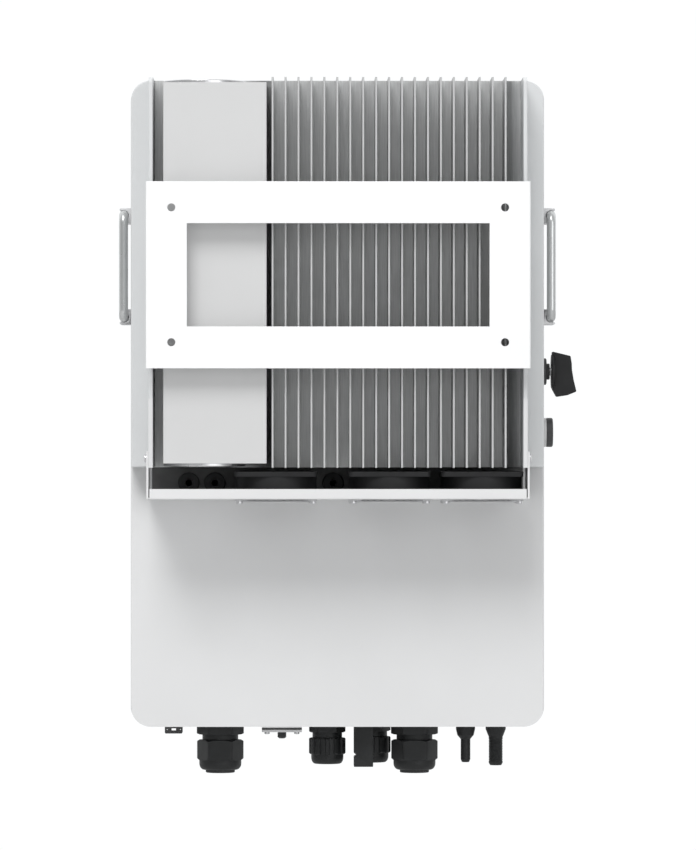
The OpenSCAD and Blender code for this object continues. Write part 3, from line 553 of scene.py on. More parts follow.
def rounded_copy(name, node, *rounds, finish=None, split=True):
    """The CAD node's own shape with edges rounded, each round being round_edges() arguments."""
    bm = cad_copy(node)
    for arguments in rounds:
        round_edges(bm, *arguments)
    new_piece(name, bm, node, finish=finish, split=split)


# ---- Screws ----


def cross_recess(width, depth, head_h):
    """Cutter for a cross recess in a screw's head."""
    bm = bmesh.new()
    arm = width * 0.2
    floor_share, top_share = 0.55, 1.1
    for crosswise in (False, True):
        base = []
        for z, w in ((head_h - depth, floor_share), (head_h + depth, top_share)):
            half = Vector((width * w, arm * w)) / 2
            if crosswise:
                half = Vector((half.y, half.x))
            base.append([bm.verts.new((sx * half.x, sy * half.y, z))
                         for sx, sy in ((-1, -1), (1, -1), (1, 1), (-1, 1))])
        lower, upper = base
        bm.faces.new(lower)
        bm.faces.new(upper)
        for k in range(4):
            n = (k + 1) % 4
            bm.faces.new((lower[k], lower[n], upper[n], upper[k]))
    return bm


def screw_template(head_d, head_h, shank_d, shank_len):
    """Pan-head screw with its head above z = 0, as an unlinked mesh."""
    r = head_d / 2
    dome_angle, dome_steps, dome_share = radians(70), 6, 0.35
    dome = [(r * sin(a), head_h - r * dome_share * (1 - cos(a)))
            for a in (dome_angle * k / dome_steps for k in range(dome_steps + 1))]
    scale = r / dome[-1][0]
    profile = [(x * scale, z) for x, z in dome]
    profile += [(r, head_h * 0.12), (r * 0.96, 0), (shank_d / 2, 0)]
    half_pitch, thread_depth, point = mm(0.5, 0.25, 0.4)
    turns = max(1, int(shank_len / (2 * half_pitch)) - 1)
    for k in range(turns):
        z = -2 * half_pitch * (k + 0.5)
        profile += [(shank_d / 2, z), (shank_d / 2 - thread_depth, z - half_pitch)]
    profile += [(shank_d / 2 - point, -shank_len), (0, -shank_len)]
    obj = to_object("screw_template", turned(profile, 32), MATERIALS["steel"])
    recess_w, recess_depth = head_d * 0.5, head_h * 0.55
    boolean(obj, "DIFFERENCE", cross_recess(recess_w, recess_depth, head_h))
    mesh = obj.data
    bpy.data.objects.remove(obj)
    return mesh


def screws(name, node, outward, head_of, spare=0.0):
    """All screws of a node. outward(low, high) gives the way a head points, and head_of(box)
    its (head diameter, head height, shank diameter). A shank ends short by spare."""
    templates = {}
    bm = bmesh.new()
    for low, high, origin in islands(node):
        direction = outward(low, high)
        sizes = head_of(low, high)
        axis = max(range(3), key=lambda i: abs(direction[i]))
        length = high[axis] - low[axis]
        key = (*sizes, round(length, 4))
        if key not in templates:
            templates[key] = screw_template(*sizes, length - sizes[1] - spare)
        tip = high[axis] if direction[axis] > 0 else low[axis]
        origin[axis] = tip - direction[axis] * sizes[1]
        part = bmesh.new()
        part.from_mesh(templates[key])
        bmesh.ops.transform(part, matrix=axis_matrix(origin, direction), verts=part.verts)
        scratch = bpy.data.meshes.new("scratch")
        part.to_mesh(scratch)
        part.free()
        bm.from_mesh(scratch)
        bpy.data.meshes.remove(scratch)
    for mesh in templates.values():
        bpy.data.meshes.remove(mesh)
    new_piece(name, bm, node)


def make_screws():
    """Fan screws from below; case screws from the sides, the front and below."""
    down = Vector((0, 0, -1))
    hidden_tip = 2.6 * MM

    def case_direction(low, high):
        size = high - low
        if size.x > size.y and size.x > size.z:
            return Vector((copysign(1, low.x), 0, 0))
        return Vector((0, -1, 0)) if size.y > size.z else down

    def case_head(low, high):
        direction = case_direction(low, high)
        if direction.x:
            return mm(8, 3.2, 4)
        return mm(8, 2, 3.2) if direction.y else mm(5.4, 3, 3.2)

    screws("fan_screw_set", "fan_screws", lambda low, high: down, lambda low, high: mm(7, 3, 4),
           hidden_tip)
    screws("case_screw_set", "case_screws", case_direction, case_head)


# ---- Cabinet, covers and heat sink ----

CORNER_R = 20 * MM


def outer_edge(low, high, at_y):
    """Test for the edges of a cabinet shell's outline, at one depth."""
    centre = (low + high) / 2
    half = (high - low) / 2
    near, depth_gap = mm(0.3, 0.05)

    def on_outline(co):
        x, z = abs(co.x - centre.x), abs(co.z - centre.z)
        if abs(co.y - at_y) > depth_gap:
            return False
        if half.x - x < near or half.z - z < near:
            return True
        # Within a corner's arc
        over = Vector((x - half.x + CORNER_R, z - half.z + CORNER_R))
        return min(over) > 0 and abs(over.length - CORNER_R) < near

    return lambda edge: all(on_outline(vert.co) for vert in edge.verts)


def make_housing():
    """Cast housing: a soft edge round its back, crisp edges at its holes."""
    low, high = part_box("main_housing")
    rounded_copy("housing_casting", "main_housing",
                 (1.7 * MM, 4, outer_edge(low, high, high.y)),
                 (0.4 * MM, 2, lambda e: middle(e).y < high.y - 5 * MM, 60.0), split=False)


def make_frame():
    """Heat-sink frame: side walls with rounded rear edges, and a softened front band."""
    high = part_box("heat_sink_frame")[1]
    front_y, side_x = -85 * MM, 186 * MM
    band = lambda e: abs(middle(e).y - front_y) < 0.05 * MM and abs(middle(e).x) > side_x
    rounded_copy("frame_casting", "heat_sink_frame",
                 (1.1 * MM, 3, lambda e: middle(e).y > high.y - 0.5 * MM),
                 (1.4 * MM, 3, band), split=False)


def make_heat_sink():
    """Rounded fin tips; the base has a small chamfer at its sides."""
    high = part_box("heat_sink")[1]
    side_x = 100 * MM
    rounded_copy("finned_extrusion", "heat_sink",
                 (0.55 * MM, 3, lambda e: middle(e).y > high.y - 1 * MM),
                 (0.3 * MM, 1, lambda e: middle(e).y < high.y - 1.5 * MM
                  and abs(middle(e).x) > side_x))


def make_choke_parts():
    """Bent choke cover, and the can behind it with rolled rims."""
    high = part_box("choke_cover")[1]
    bends = lambda e: (middle(e).y > high.y - 0.1 * MM
                       and abs(e.verts[0].co.x - e.verts[1].co.x) < 0.1 * MM)
    rounded_copy("choke_cover_sheet", "choke_cover", (1.2 * MM, 4, bends), (0.25 * MM, 2))

    low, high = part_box("choke_can")
    radius = (high.x - low.x) / 2
    centre = (low + high) / 2
    height = high.z - low.z
    wall, lid, ends = mm(1.2, 1.4, 3)
    # Rolled rim, side wall, and a lid set a little below the rim
    outer = fillet([(0, lid), (radius - 3 * MM, lid), (radius - 2.2 * MM, 0), (radius, 0),
                    (radius, height), (radius - 2.2 * MM, height),
                    (radius - 3 * MM, height - lid), (0, height - lid)],
                   mm(0, 0.3, 0.6, 0.9, 0.9, 0.6, 0.3, 0), 5)
    place = Matrix.Translation((centre.x, centre.y, low.z))
    inner = [(0, ends), (radius - wall, ends), (radius - wall, height - ends), (0, height - ends)]
    can = to_object("choke_can_shell", turned(outer, 128, place), MATERIALS["bright_can"])
    boolean(can, "DIFFERENCE", turned(inner, 128, place))
    finish_piece(can, "choke_can")


def make_covers():
    """Front covers with broad rounded edges towards the front."""
    for node, name in (("front_cover", "front_cover_shell"),
                       ("wiring_cover", "wiring_cover_shell")):
        low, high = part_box(node)
        rounded_copy(name, node, (6 * MM, 6, outer_edge(low, high, low.y)),
                     (0.3 * MM, 1, lambda e: middle(e).y > high.y - 0.1 * MM), split=False)


def make_bracket():
    """Wall plate with a bend radius along its side flanges."""
    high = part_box("wall_bracket")[1]

    def bend(edge):
        off = middle(edge)
        vertical = abs(edge.verts[0].co.x - edge.verts[1].co.x) < 0.01 * MM
        return vertical and abs(abs(off.x) - high.x) < 0.01 * MM and off.y > -0.1 * MM

    rounded_copy("bracket_sheet", "wall_bracket", (1.6 * MM, 4, bend), (0.3 * MM, 2))


# ---- Fans and tray ----


def make_tray():
    """Bent fan tray and the two strips at its edges."""
    low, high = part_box("fan_tray")
    near = 0.01 * MM

    def bend(edge):
        a, b = edge.verts[0].co, edge.verts[1].co
        bottom = abs(a.z - low.z) < near and abs(b.z - low.z) < near
        lip = abs(a.y - high.y) < near and abs(b.y - high.y) < near
        arm = abs(abs(a.x) - high.x) < near and abs(abs(b.x) - high.x) < near
        return bottom and (lip or arm)

    rounded_copy("tray_sheet", "fan_tray", (1.3 * MM, 4, bend), (0.3 * MM, 2), finish="tray_coat")
    rounded_copy("tray_strip_pair", "tray_strips", (0.3 * MM, 2), finish="strip_coat")


def make_fan_frames():
    """Fan housings with soft outer rims."""
    for number in (1, 2, 3):
        node = f"fan_frame_{number}"
        low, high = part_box(node)
        centre = (low + high) / 2
        rim = (high.x - low.x) / 2 - 0.5 * MM

        def on_rim(edge):
            off = middle(edge) - centre
            return max(abs(off.x), abs(off.y)) > rim

        rounded_copy(f"fan_housing_{number}", node, (0.4 * MM, 2, on_rim, 50.0))


def blade_grid(root, tip, low, height, turn):
    """Middle surface of one fan blade: rows run outwards, points along a row run chordwise."""
    steps = 8
    tip_drop, sweep, bulge = 0.22, 0.28, 0.6
    root_pitch, pitch_loss = 46, 18
    rows = []
    for i in range(steps + 1):
        u = i / steps
        r = root + (tip - root) * u
        rise = height * (1.0 - tip_drop * u)
        pitch = radians(root_pitch - pitch_loss * u)
        span = rise / tan(pitch) / r
        lean = sweep * u * u
        row = []
        for j in range(steps + 1):
            v = j / steps - 0.5
            angle = turn + lean + v * span
            camber = 1.6 * MM * (1 - 4 * v * v)
            z = low + height / 2 + v * rise + camber * bulge
            row.append(Vector((r * cos(angle), r * sin(angle), z)))
        rows.append(row)
    return rows


def thick_sheet(bm, rows, thickness, place):
    """Solid of a grid of points with a thickness that thins out at its rims."""
    n, m = len(rows), len(rows[0])
    rim, next_to_rim = 0.35, 0.8
    sides = ([], [])
    for i in range(n):
        for side in sides:
            side.append([])
        for j in range(m):
            du = rows[min(i + 1, n - 1)][j] - rows[max(i - 1, 0)][j]
            dv = rows[i][min(j + 1, m - 1)] - rows[i][max(j - 1, 0)]
            normal = du.cross(dv).normalized()
            edge = rim if j in (0, m - 1) else next_to_rim if j in (1, m - 2) else 1.0
            for side, sign in zip(sides, (1, -1)):
                point = rows[i][j] + normal * sign * edge * thickness / 2
                side[i].append(bm.verts.new(place @ point))
    top, bottom = sides
    for i in range(n - 1):
        for j in range(m - 1):
            bm.faces.new((top[i][j], top[i][j + 1], top[i + 1][j + 1], top[i + 1][j]))
            bm.faces.new((bottom[i][j], bottom[i + 1][j], bottom[i + 1][j + 1],
                          bottom[i][j + 1]))
    for i in range(n - 1):
        for j in (0, m - 1):
            bm.faces.new((top[i][j], top[i + 1][j], bottom[i + 1][j], bottom[i][j]))
    for j in range(m - 1):
        for i in (0, n - 1):
            bm.faces.new((top[i][j], top[i][j + 1], bottom[i][j + 1], bottom[i][j]))


def make_rotors():
    """Impellers: a turned hub on its shaft, joined with seven twisted blades."""
    blades = 7
    hub_r, shaft_h, shaft_r = 17 * MM, 3 * MM, 3 * MM / 2
    sunk, tip_gap, blade_low, blade_trim = mm(0.6, 0.15, 1.2, 3.4)
    for number in (1, 2, 3):
        node = f"fan_rotor_{number}"
        low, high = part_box(node)
        centre = (low + high) / 2
        tip = (high.x - low.x) / 2
        hub_low = low.z + shaft_h
        hub_h = high.z - hub_low
        place = Matrix.Translation((centre.x, centre.y, hub_low))
        hub = fillet([(0, -shaft_h), (shaft_r, -shaft_h), (shaft_r, 0), (hub_r, 0),
                      (hub_r, hub_h), (hub_r - 5 * MM, hub_h),
                      (hub_r - 5.6 * MM, hub_h - 0.5 * MM), (0, hub_h - 0.5 * MM)],
                     mm(0, 0.3, 0, 0.6, 1.6, 0.2, 0.2, 0))
        impeller = to_object(f"fan_impeller_{number}", turned(hub, 64, place),
                             MATERIALS["fan_plastic"])
        bm = bmesh.new()
        for k in range(blades):
            grid = blade_grid(hub_r - sunk, tip - tip_gap, blade_low, hub_h - blade_trim,
                              2 * pi * k / blades)
            thick_sheet(bm, grid, 1.5 * MM, place)
        boolean(impeller, "UNION", bm)
        finish_piece(impeller, node)


def make_finger_guards():
    """Round wires: four rings on two crossed bars that end in screw eyes."""
    wire_r, eye_r, eye_gap, inner_end = mm(0.8, 3.7, 9, 11)
    hole = 71.5 * MM / 2
    opening = radians(28)
    low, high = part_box("finger_guards")
    ring_z = low.z + wire_r
    bar_z = high.z - wire_r
    bm = bmesh.new()
    for number in (1, 2, 3):
        fan_low, fan_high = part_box(f"fan_frame_{number}")
        centre = (fan_low + fan_high) / 2
        hub = Vector((centre.x, centre.y, bar_z))
        for radius in mm(12, 21, 30, 37):
            tube(bm, circle_path((centre.x, centre.y, ring_z), radius, 72), wire_r, 10, True)
        for angle in (45, 135, 225, 315):
            out = Vector((copysign(hole, cos(radians(angle))),
                          copysign(hole, sin(radians(angle))), 0))
            way = out.normalized()
            start = atan2(-way.y, -way.x)
            # From the middle out to the eye, round the screw, and back beside the first stretch
            side = Vector((-way.y, way.x, 0)) * wire_r
            path = [hub + side, hub + side + way * (out.length - eye_gap)]
            path += circle_path(hub + out, eye_r, 22, start - opening, 2 * opening - 2 * pi)
            path += [hub - side + way * (out.length - eye_gap), hub - side + way * inner_end]
            tube(bm, path, wire_r, 8)
    new_piece("wire_guards", bm, "finger_guards")


def make_bay_panel():
    """Dark sheet behind the fans."""
    rounded_copy("bay_panel_sheet", "fan_bay_panel", (0.4 * MM, 2), finish="panel_grey")


def make_grommets():
    """Cable grommets in the bay panel."""
    hole_r, body_r, tail_r = mm(3.25, 7.8, 6.8)
    bm = bmesh.new()
    for low, high, centre in islands("cable_grommets"):
        length = high.y - low.y
        rim_r = (high.x - low.x) / 2
        # Profile along -Y from the flange's face, closed round the cable hole
        profile = fillet([(hole_r, 0.9 * MM), (hole_r + 2.2 * MM, 0), (rim_r, 0), (rim_r, 4 * MM),
                          (body_r, 4 * MM), (body_r, 7 * MM), (tail_r, 7 * MM),
                          (tail_r, length), (hole_r, length)],
                         mm(0.4, 0.5, 1.3, 0.8, 0.2, 0.2, 0.2,
                          0.5, 0.3), 4, True)
        revolve(bm, profile, 48, axis_matrix((centre.x, high.y, centre.z), (0, -1, 0)), True)
    new_piece("grommet_set", bm, "cable_grommets")


# ---- Handles ----


def make_handles():
    """Bent rods: two arms, two elbows and a bar."""
    rod_r, elbow = mm(4.5, 8)
    # Ball ends about the pivots
    ends = [radians(a) for a in (80, 65, 50, 35, 20, 8)]
    caps = [rod_r * cos(a) for a in ends]
    for side in ("left", "right"):
        low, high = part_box(f"handle_{side}")
        x = (low.x + high.x) / 2
        pivot_y = low.y + rod_r
        bar_y = high.y - rod_r
        top, bottom = high.z - rod_r, low.z + rod_r
        line = fillet([(pivot_y, top), (bar_y, top), (bar_y, bottom), (pivot_y, bottom)],
                      elbow, 12)
        path = [(x, pivot_y - rod_r * sin(a), top) for a in ends]
        path += [(x, p.x, p.y) for p in line]
        path += [(x, pivot_y - rod_r * sin(a), bottom) for a in reversed(ends)]
        bm = bmesh.new()
        tube(bm, path, caps + [rod_r] * len(line) + caps[::-1], 32)
        new_piece(f"handle_{side}_rod", bm, f"handle_{side}")


def make_lugs():
    """Handle lugs with softened outer edges."""
    wall_x = 204.5 * MM
    rounded_copy("lug_set", "handle_lugs", (0.25 * MM, 2, lambda e: abs(middle(e).x) > wall_x),
                 finish="lug_cast")


# ---- Side controls ----


def ring_profile(outer, inner, height, radius):
    """Closed profile of a ring with rounded outer rim, from height 0 up."""
    return fillet([(inner, 0), (outer, 0), (outer, height), (inner, height)],
                  [0, radius * 0.3, radius, radius * 0.5], 5, True)


def make_switch():
    """DC switch: a stepped flange on the wall, and a base with a sloping grip."""
    left = (-1, 0, 0)
    low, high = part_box("dc_switch_flange")
    centre = (low + high) / 2
    wall_x = -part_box("main_housing")[1].x
    bore, neck_r, flange_r, boss_r, flange_h = mm(4.05, 7.8, 13.25, 8, 4.4)
    out = wall_x - low.x
    neck_in = high.x - wall_x
    profile = fillet([(bore, -neck_in), (neck_r, -neck_in), (neck_r, 0), (flange_r, 0),
                      (flange_r, flange_h), (boss_r, flange_h), (boss_r, out), (bore, out)],
                     mm(0.2, 0.4, 0, 0.3, 1.2, 0.3, 0.6, 0.2), 4, True)
    place = axis_matrix((wall_x, centre.y, centre.z), left)
    new_piece("switch_escutcheon", turned(profile, 72, place, True), "dc_switch_flange")

    low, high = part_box("dc_switch_knob")
    base_x = high.x
    base_r = (high.y - low.y) / 2
    y = (low.y + high.y) / 2
    z = centre.z
    base_h, half = mm(3.6, 6.5)
    base = fillet([(0, 0), (base_r - 1.2 * MM, 0), (base_r, 0.9 * MM), (base_r, 2.4 * MM),
                   (base_r - 2.6 * MM, base_h), (0, base_h)], mm(0, 0.5, 0.6, 1.0, 1.0, 0), 4)
    knob = to_object("switch_knob_grip", turned(base, 96, axis_matrix((base_x, y, z), left)),
                     MATERIALS["knob_black"])
    # The grip from the side: millimetres (outwards, upwards) from the middle of the base
    outline = [(-0.8, 20), (-19.2, 15.6), (-20.4, 8), (-20.6, 2), (-22.2, -8), (-25.1, -20),
               (-16, -23.6), (-5.1, -25.3), (-0.8, -17.4)]
    line = fillet([mm(*point) for point in outline], mm(1.0, 1.8, 4, 6, 8, 1.4, 3, 1.6, 1.0),
                  4, True)
    grip = bmesh.new()
    prism(grip, line, -half, half, lambda u, v, d: Vector((base_x + u, y + d, z + v)))
    round_edges(grip, 1.3 * MM, 4, lambda e: abs(abs(middle(e).y - y) - half) < 0.01 * MM)
    boolean(knob, "UNION", grip)
    finish_piece(knob, "dc_switch_knob")


def make_button():
    """Power button: light collar, dark bezel, and a slightly dished cap on its stem."""
    left = (-1, 0, 0)
    bore, cap, stem = mm(11.3, 9.2, 4)
    for node, name, radius in (("power_button_collar", "button_collar_ring", 0.9 * MM),
                               ("power_button_bezel", "button_bezel_ring", 1.9 * MM)):
        low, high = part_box(node)
        centre = (low + high) / 2
        outer = (high.z - low.z) / 2
        place = axis_matrix((high.x, centre.y, centre.z), left)
        ring = ring_profile(outer, bore, high.x - low.x, radius)
        new_piece(name, turned(ring, 80, place, True), node)
    low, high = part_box("power_button")
    centre = (low + high) / 2
    length = high.x - low.x
    outer = (high.z - low.z) / 2
    profile = fillet([(0, 0), (stem, 0), (stem, length - cap), (outer, length - cap),
                      (outer, length), (outer - 4 * MM, length - 0.5 * MM),
                      (0, length - 0.9 * MM)], mm(0, 0.4, 0, 0.4, 1.3, 2, 0), 5)
    place = axis_matrix((high.x, centre.y, centre.z), left)
    new_piece("button_cap", turned(profile, 80, place), "power_button")


# ---- Glands and connectors ----

# Hexagons wider than this belong to the large glands
LARGE_GLAND = 42 * MM


def hexagon(width, limit):
    """Radius of a hexagon over its corners at an angle, cut back to a turned limit."""
    flat = width / 2 * cos(radians(30))

    def radius(angle):
        off = (angle % radians(60)) - radians(30)
        return min(flat / cos(off), limit)

    return radius


def hex_rows(width, low, high, low_chamfer, high_chamfer, rows=6):
    """Rows of a hexagonal prism whose corners are turned away towards its ends."""
    flat = width / 2 * cos(radians(30))
    corner = width / 2 * 0.99
    start = corner - 0.75 * (corner - flat)
    steps = [k / (rows - 1) for k in range(rows)]
    out = [(hexagon(width, start + (corner - start) * t), low + low_chamfer * t) for t in steps]
    out += [(hexagon(width, corner - (corner - start) * t), high - high_chamfer * (1 - t))
            for t in steps]
    return out


def thread_rows(radius, low, high, pitch):
    """Rows of a thread, seen as rings."""
    turns = int((high - low) / pitch)
    out = []
    for k in range(turns):
        z = low + k * pitch
        out += [(radius - 0.9 * MM, z), (radius, z + 0.5 * pitch)]
    return out


def make_gland_bodies():
    """Turned bodies: threaded stem, hexagon under the cabinet, thread through its wall."""
    floor_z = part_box("main_housing")[0].z + 3 * MM
    bm = bmesh.new()
    for low, high, centre in islands("gland_bodies"):
        width = high.x - low.x
        large = width > LARGE_GLAND
        hex_h, neck_d, stem_d, thread_d, bore_d = (
            mm(10.1, 35.7, 33.0, 30.0, 24.0) if large else mm(8.2, 29.5, 25.0, 22.0, 16.0))
        neck_r, thread_r, bore_r = neck_d / 2, thread_d / 2, bore_d / 2
        neck_low = floor_z - hex_h - 5.4 * MM
        rows = [(bore_r, low.z)]
        rows += thread_rows(stem_d / 2, low.z, neck_low, 1.9 * MM)
        rows += [(neck_r - 0.6 * MM, neck_low), (neck_r, neck_low + 0.6 * MM),
                 (neck_r, floor_z - hex_h)]
        rows += hex_rows(width, floor_z - hex_h + 0.02 * MM, floor_z, 0.8 * MM, 0.3 * MM)
        rows += thread_rows(thread_r, floor_z + 0.2 * MM, high.z, 1.5 * MM)
        rows += [(thread_r - 1.2 * MM, high.z), (bore_r, high.z)]
        revolve(bm, rows, 96, upright(centre), True)
    new_piece("gland_body_set", bm, "gland_bodies")


def ribbed(base, rib, count, share):
    """Radius of a round grip with square ribs."""
    def radius(angle):
        phase = (angle * count / (2 * pi) + 0.5) % 1.0 - 0.5
        edge = max(0.0, min(1.0, (share / 2 - abs(phase)) * 14 + 0.5))
        return base + (rib - base) * edge
    return radius


def make_gland_nuts():
    """Dome nuts: hexagonal on the large glands, ribbed on the small ones."""
    dome_h, dome_rise = mm(9.5, 6.4)
    ribs, rib_share = 12, 0.42
    arc = [radians(9 * k) for k in range(11)]
    bm = bmesh.new()
    for low, high, centre in islands("gland_nuts"):
        width = high.x - low.x
        large = width > LARGE_GLAND
        dome_d, tip_bore_d, bore_d, bore_h = (
            mm(41.9, 30.8, 33.4, 12.0) if large else mm(32.1, 22.8, 25.4, 10.5))
        dome_r, bore_low, bore_high = dome_d / 2, tip_bore_d / 2, bore_d / 2
        shoulder = high.z - bore_h
        grip_low = low.z + dome_h
        across = dome_r - bore_low - 0.6 * MM
        rows = [(bore_low, low.z + 0.6 * MM)]
        rows += [(dome_r - across * (1 - sin(a)), low.z + dome_rise * (1 - cos(a)))
                 for a in arc]
        rows.append((dome_r, grip_low))
        if large:
            rows += hex_rows(width, grip_low + 0.05 * MM, high.z, 1.7 * MM, 1.3 * MM)
        else:
            rib = width / 2
            base = rib - 1.6 * MM
            for base_in, rib_in, z in ((0.5 * MM, 1.2 * MM, grip_low + 0.1 * MM),
                                       (0, 0, grip_low + 1.3 * MM), (0, 0, high.z - 1.0 * MM),
                                       (0.4 * MM, 0.8 * MM, high.z)):
                rows.append((ribbed(base - base_in, rib - rib_in, ribs, rib_share), z))
        rows += [(bore_high, high.z), (bore_high, shoulder), (bore_low, shoulder)]
        revolve(bm, rows, 96 if large else 144, upright(centre), True)
    new_piece("gland_nut_set", bm, "gland_nuts")


def make_gland_seals():
    """Rubber sleeves in the nuts' mouths."""
    lip = 1.2 * MM
    bm = bmesh.new()
    for low, high, centre in islands("gland_seals"):
        width = high.x - low.x
        outer = width / 2
        inner = (22.0 if width > 26 * MM else 13.0) * MM / 2
        rows = fillet([(inner, low.z), (outer - 0.8 * MM, low.z), (outer, high.z - lip),
                       (outer - lip, high.z), (inner, high.z)],
                      mm(0.8, 1.0, 0.4, 0.4, 0.5), 4, True)
        revolve(bm, rows, 72, upright(centre), True)
    new_piece("gland_seal_set", bm, "gland_seals")


def make_solar_connectors():
    """Slim and wide solar connectors, the wide one with grip grooves."""
    floor_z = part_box("main_housing")[0].z + 3 * MM
    contact_r, neck_r = mm(2, 6)
    low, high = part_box("pv_connector_plus")
    head = (high.x - low.x) / 2
    tip = 4.8 * MM
    rows = fillet([(contact_r, low.z), (tip - 1.2 * MM, low.z), (tip, low.z + 3 * MM),
                   (tip, floor_z - 15 * MM), (8.2 * MM, floor_z - 11 * MM),
                   (head, floor_z - 5 * MM), (head, floor_z), (neck_r, floor_z),
                   (neck_r, high.z), (contact_r, high.z)],
                  mm(0.3, 0.8, 1.0, 1.0, 0.8, 0.8, 0.3, 0, 0.5, 0.2), 4, True)
    new_piece("solar_spout_slim", turned(rows, 56, upright((low + high) / 2), True),
              "pv_connector_plus")

    low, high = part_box("pv_connector_minus")
    head = (high.x - low.x) / 2
    tip, bore_r, pitch, groove = mm(7, 5, 1.6, 0.35)
    inside_z = floor_z - 14 * MM
    rows = [(bore_r, inside_z), (bore_r, low.z + 0.5 * MM), (5.5 * MM, low.z),
            (tip - 1.4 * MM, low.z), (tip, low.z + 2.4 * MM)]
    z = low.z + 4 * MM
    while z < floor_z - 15 * MM:
        rows += [(tip, z), (tip - groove, z + 0.25 * pitch), (tip - groove, z + 0.6 * pitch),
                 (tip, z + 0.85 * pitch)]
        z += pitch
    rows += [(tip, floor_z - 12.4 * MM), (tip + 0.5 * MM, floor_z - 11.6 * MM),
             (head, floor_z - 5 * MM), (head, floor_z - 0.6 * MM), (head - 0.6 * MM, floor_z),
             (neck_r, floor_z), (neck_r, high.z), (contact_r, high.z), (contact_r, inside_z)]
    new_piece("solar_spout_wide", turned(rows, 56, upright((low + high) / 2), True),
              "pv_connector_minus")


def make_blocks():
    """Battery connector and logger port."""
    low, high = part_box("battery_connector")
    bm = cad_copy("battery_connector")
    round_edges(bm, 0.7 * MM, 3, lambda e: middle(e).z < high.z - 10.3 * MM, 60.0)
    block = to_object("battery_plug_block", bm, MATERIALS["gland_nylon"])
    notch = bmesh.new()
    past, reach = mm(1, 3.2)
    z = low.z + 11.4 * MM
    prism(notch, [(high.x + past, z + 3.4 * MM), (high.x - reach, z),
                  (high.x + past, z - 2.4 * MM)],
          low.y - past, high.y + past, lambda u, v, d: Vector((u, d, v)))
    boolean(block, "DIFFERENCE", notch)
    finish_piece(block, "battery_connector")

    low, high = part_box("logger_port")
    bm = cad_copy("logger_port")
    port_floor = high.z - 8 * MM
    middle_x, half = (low.x + high.x) / 2, (high.x - low.x) / 2

    def bottom_side(edge):
        off = middle(edge)
        return off.z < low.z + 0.1 * MM and abs(abs(off.x - middle_x) - half) < 0.1 * MM

    def level(edge):
        flat = abs(edge.verts[0].co.z - edge.verts[1].co.z) < 0.1 * MM
        return flat and middle(edge).z < port_floor

    round_edges(bm, 1.1 * MM, 3, bottom_side)
    round_edges(bm, 0.3 * MM, 2, level, 60.0)
    port = to_object("logger_port_block", bm, MATERIALS["black_plastic"])
    window_x, window_half = mm(6.6, 0.5)
    cutters = []
    for side in (-1, 1):
        cut = bmesh.new()
        x = middle_x + side * window_x
        add_box(cut, (x - window_half, low.y - past, low.z + 2.6 * MM),
                (x + window_half, high.y + past, low.z + 4.5 * MM))
        cutters.append(cut)
    boolean(port, "DIFFERENCE", *cutters)
    finish_piece(port, "logger_port")


def make_vent():
    """Vent plate and its knurled cap."""
    rounded_copy("vent_cover_plate", "vent_plate", (0.5 * MM, 3, None, 50.0))
    low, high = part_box("vent_cap")
    centre = (low + high) / 2
    radius = (high.x - low.x) / 2
    cap_h, neck_r = mm(7.1, 3.5)
    teeth = 4
    tooth = (cap_h - 1.6 * MM) / teeth
    rows = [(0, low.z), (radius * 0.55, low.z + 0.1 * MM), (radius * 0.8, low.z + 0.9 * MM)]
    for k in range(teeth):
        z = low.z + 1.2 * MM + k * tooth
        rows += [(ribbed(radius - 0.8 * MM, radius - 0.5 * MM, 16, 0.5), z),
                 (ribbed(radius - 0.35 * MM, radius, 16, 0.5), z + 0.75 * tooth)]
    rows += [(radius - 0.6 * MM, low.z + cap_h), (neck_r, low.z + cap_h), (neck_r, high.z),
             (0, high.z)]
    new_piece("vent_cap_knurled", turned(rows, 96, upright(centre)), "vent_cap")


# ---- Display ----


def make_display():
    """Bezel, four key caps and the status lights."""
    bezel_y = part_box("display_bezel")[0].y
    rounded_copy("bezel_frame", "display_bezel",
                 (0.6 * MM, 3, lambda e: middle(e).y < bezel_y + 0.1 * MM))
    front = (0, -1, 0)
    r, stem_r, stem, flange_r, flange_h = mm(5, 2, 4, 6.5, 1.4)
    for number in (1, 2, 3, 4):
        node = f"key_{number}"
        low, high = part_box(node)
        centre = (low + high) / 2
        length = high.y - low.y
        rows = fillet([(0, 0), (stem_r, 0), (stem_r, stem), (flange_r, stem),
                       (flange_r, stem + flange_h), (r, stem + flange_h), (r, length),
                       (r - 2.2 * MM, length - 0.25 * MM), (0, length - 0.35 * MM)],
                      mm(0, 0.3, 0, 0.3, 0.3, 0, 0.8, 1, 0), 4)
        place = axis_matrix((centre.x, high.y, centre.z), front)
        new_piece(f"key_cap_{number}", turned(rows, 48, place), node)
    bm = bmesh.new()
    for low, high, centre in islands("status_lights"):
        r = (high.x - low.x) / 2
        rows = fillet([(0, 0), (r, 0), (r, high.y - low.y), (0, high.y - low.y)],
                      mm(0, 0.2, 0.7, 0), 5)
        revolve(bm, rows, 32, axis_matrix((centre.x, high.y, centre.z), front))
    new_piece("status_light_set", bm, "status_lights")


# ---- What stays as CAD made it ----


def finish_cad_nodes():
    """Every CAD node that still shows gets its slot's material."""
    for node, obj in frame["nodes"].items():
        if not obj.hide_render:
            obj.data.materials.clear()
            obj.data.materials.append(MATERIALS[SLOT_OF[node]])


# ---- Light and floor ----


# Strengths of the surround: beyond the cabinet, low and high behind the camera, and the fill
BACKDROP = 1.02
DIM_HORIZON = 0.45
BRIGHT_PANEL = 0.55
FILL_PANEL = 1.5
FILL_SIDE = Vector((-0.5, 0.865, 0.05))
FLOOR_Z = -1.6
FLOOR_HALF = 12.0


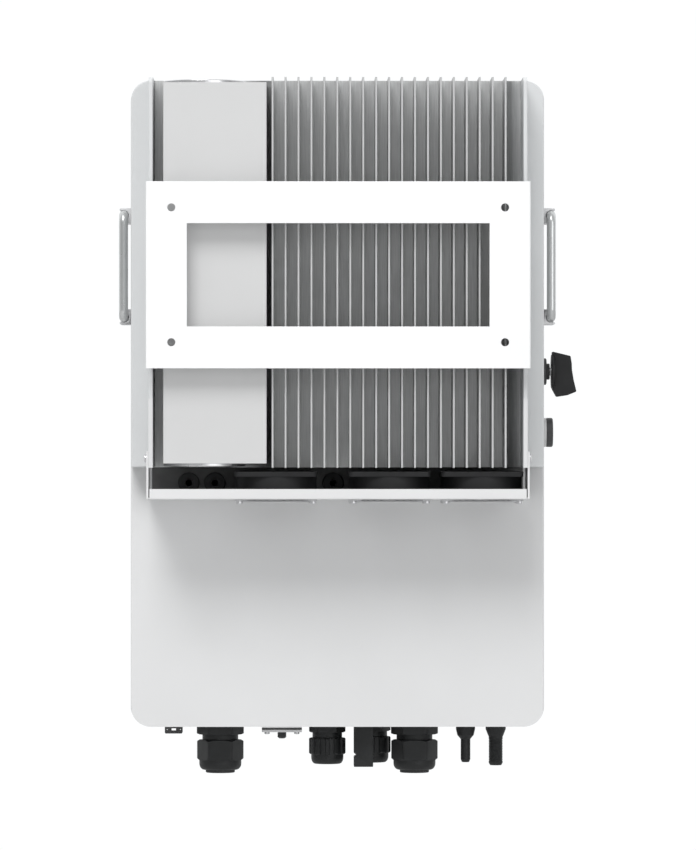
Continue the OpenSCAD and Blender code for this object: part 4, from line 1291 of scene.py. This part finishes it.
def area_light(name, place, target, size, power):
    """A white square lamp that shines from its place towards the target."""
    data = bpy.data.lights.new(name, "AREA")
    data.shape = "SQUARE"
    data.size = size
    data.energy = power
    light = bpy.data.objects.new(name, data)
    light.location = place
    light.rotation_euler = (Vector(target) - Vector(place)).to_track_quat("-Z", "Y").to_euler()
    bpy.context.scene.collection.objects.link(light)


def make_surround():
    """White studio: bright panels high up on the wall's open side, and dim behind the camera."""
    world = bpy.data.worlds.new("studio")
    world.use_nodes = True
    tree = world.node_tree
    background = tree.nodes["Background"]
    background.inputs["Color"].default_value = (0.985, 0.995, 1.0, 1.0)
    direction = add_node(tree, "ShaderNodeTexCoord").outputs["Generated"]
    axes = add_node(tree, "ShaderNodeSeparateXYZ", Vector=direction)

    def ranged(source, low, high, start, end):
        node = add_node(tree, "ShaderNodeMapRange", {"interpolation_type": "SMOOTHSTEP"},
                        Value=source, From_Min=low, From_Max=high, To_Min=start, To_Max=end)
        return node.outputs["Result"]

    height = ranged(axes.outputs["Z"], 0.0, 0.6, DIM_HORIZON, BRIGHT_PANEL)
    facing = ranged(axes.outputs["Y"], -0.35, 0.25, 0.0, 1.0)
    mix = add_node(tree, "ShaderNodeMix", {"data_type": "FLOAT"}, A=BACKDROP, B=height,
                   Factor=facing)
    # A wide soft fill low down behind the camera, on the switch's side
    towards = add_node(tree, "ShaderNodeVectorMath", {"operation": "DOT_PRODUCT"})
    tree.links.new(direction, towards.inputs[0])
    towards.inputs[1].default_value = FILL_SIDE.normalized()
    fill = ranged(towards.outputs["Value"], 0.90, 0.98, 0.0, FILL_PANEL)
    total = add_node(tree, "ShaderNodeMath", {"operation": "ADD"})
    tree.links.new(mix.outputs["Result"], total.inputs[0])
    tree.links.new(fill, total.inputs[1])
    tree.links.new(total.outputs["Value"], background.inputs["Strength"])
    bpy.context.scene.world = world


def make_studio():
    """The surround, a soft key from above on the choke's side, and a pale floor."""
    make_surround()
    area_light("key", (1.6, 5.1, 6.3), (0, -0.1, -0.1), size=3.6, power=430.0)
    bm = bmesh.new()
    bmesh.ops.create_grid(bm, x_segments=12, y_segments=12, size=FLOOR_HALF)
    bmesh.ops.translate(bm, vec=(0, 0, FLOOR_Z), verts=bm.verts)
    floor = to_object("floor", bm, powder_coat("floor_paint", (0.62, 0.62, 0.62), 0.7, 60.0))
    view = bpy.context.scene.view_settings
    view.view_transform = "Standard"
    view.look = "None"


make_camera()
make_studio()
make_housing()
make_frame()
make_heat_sink()
make_choke_parts()
make_covers()
make_bracket()
make_tray()
make_fan_frames()
make_rotors()
make_finger_guards()
make_bay_panel()
make_grommets()
make_handles()
make_lugs()
make_switch()
make_button()
make_gland_bodies()
make_gland_nuts()
make_gland_seals()
make_solar_connectors()
make_blocks()
make_vent()
make_display()
make_screws()
finish_cad_nodes()
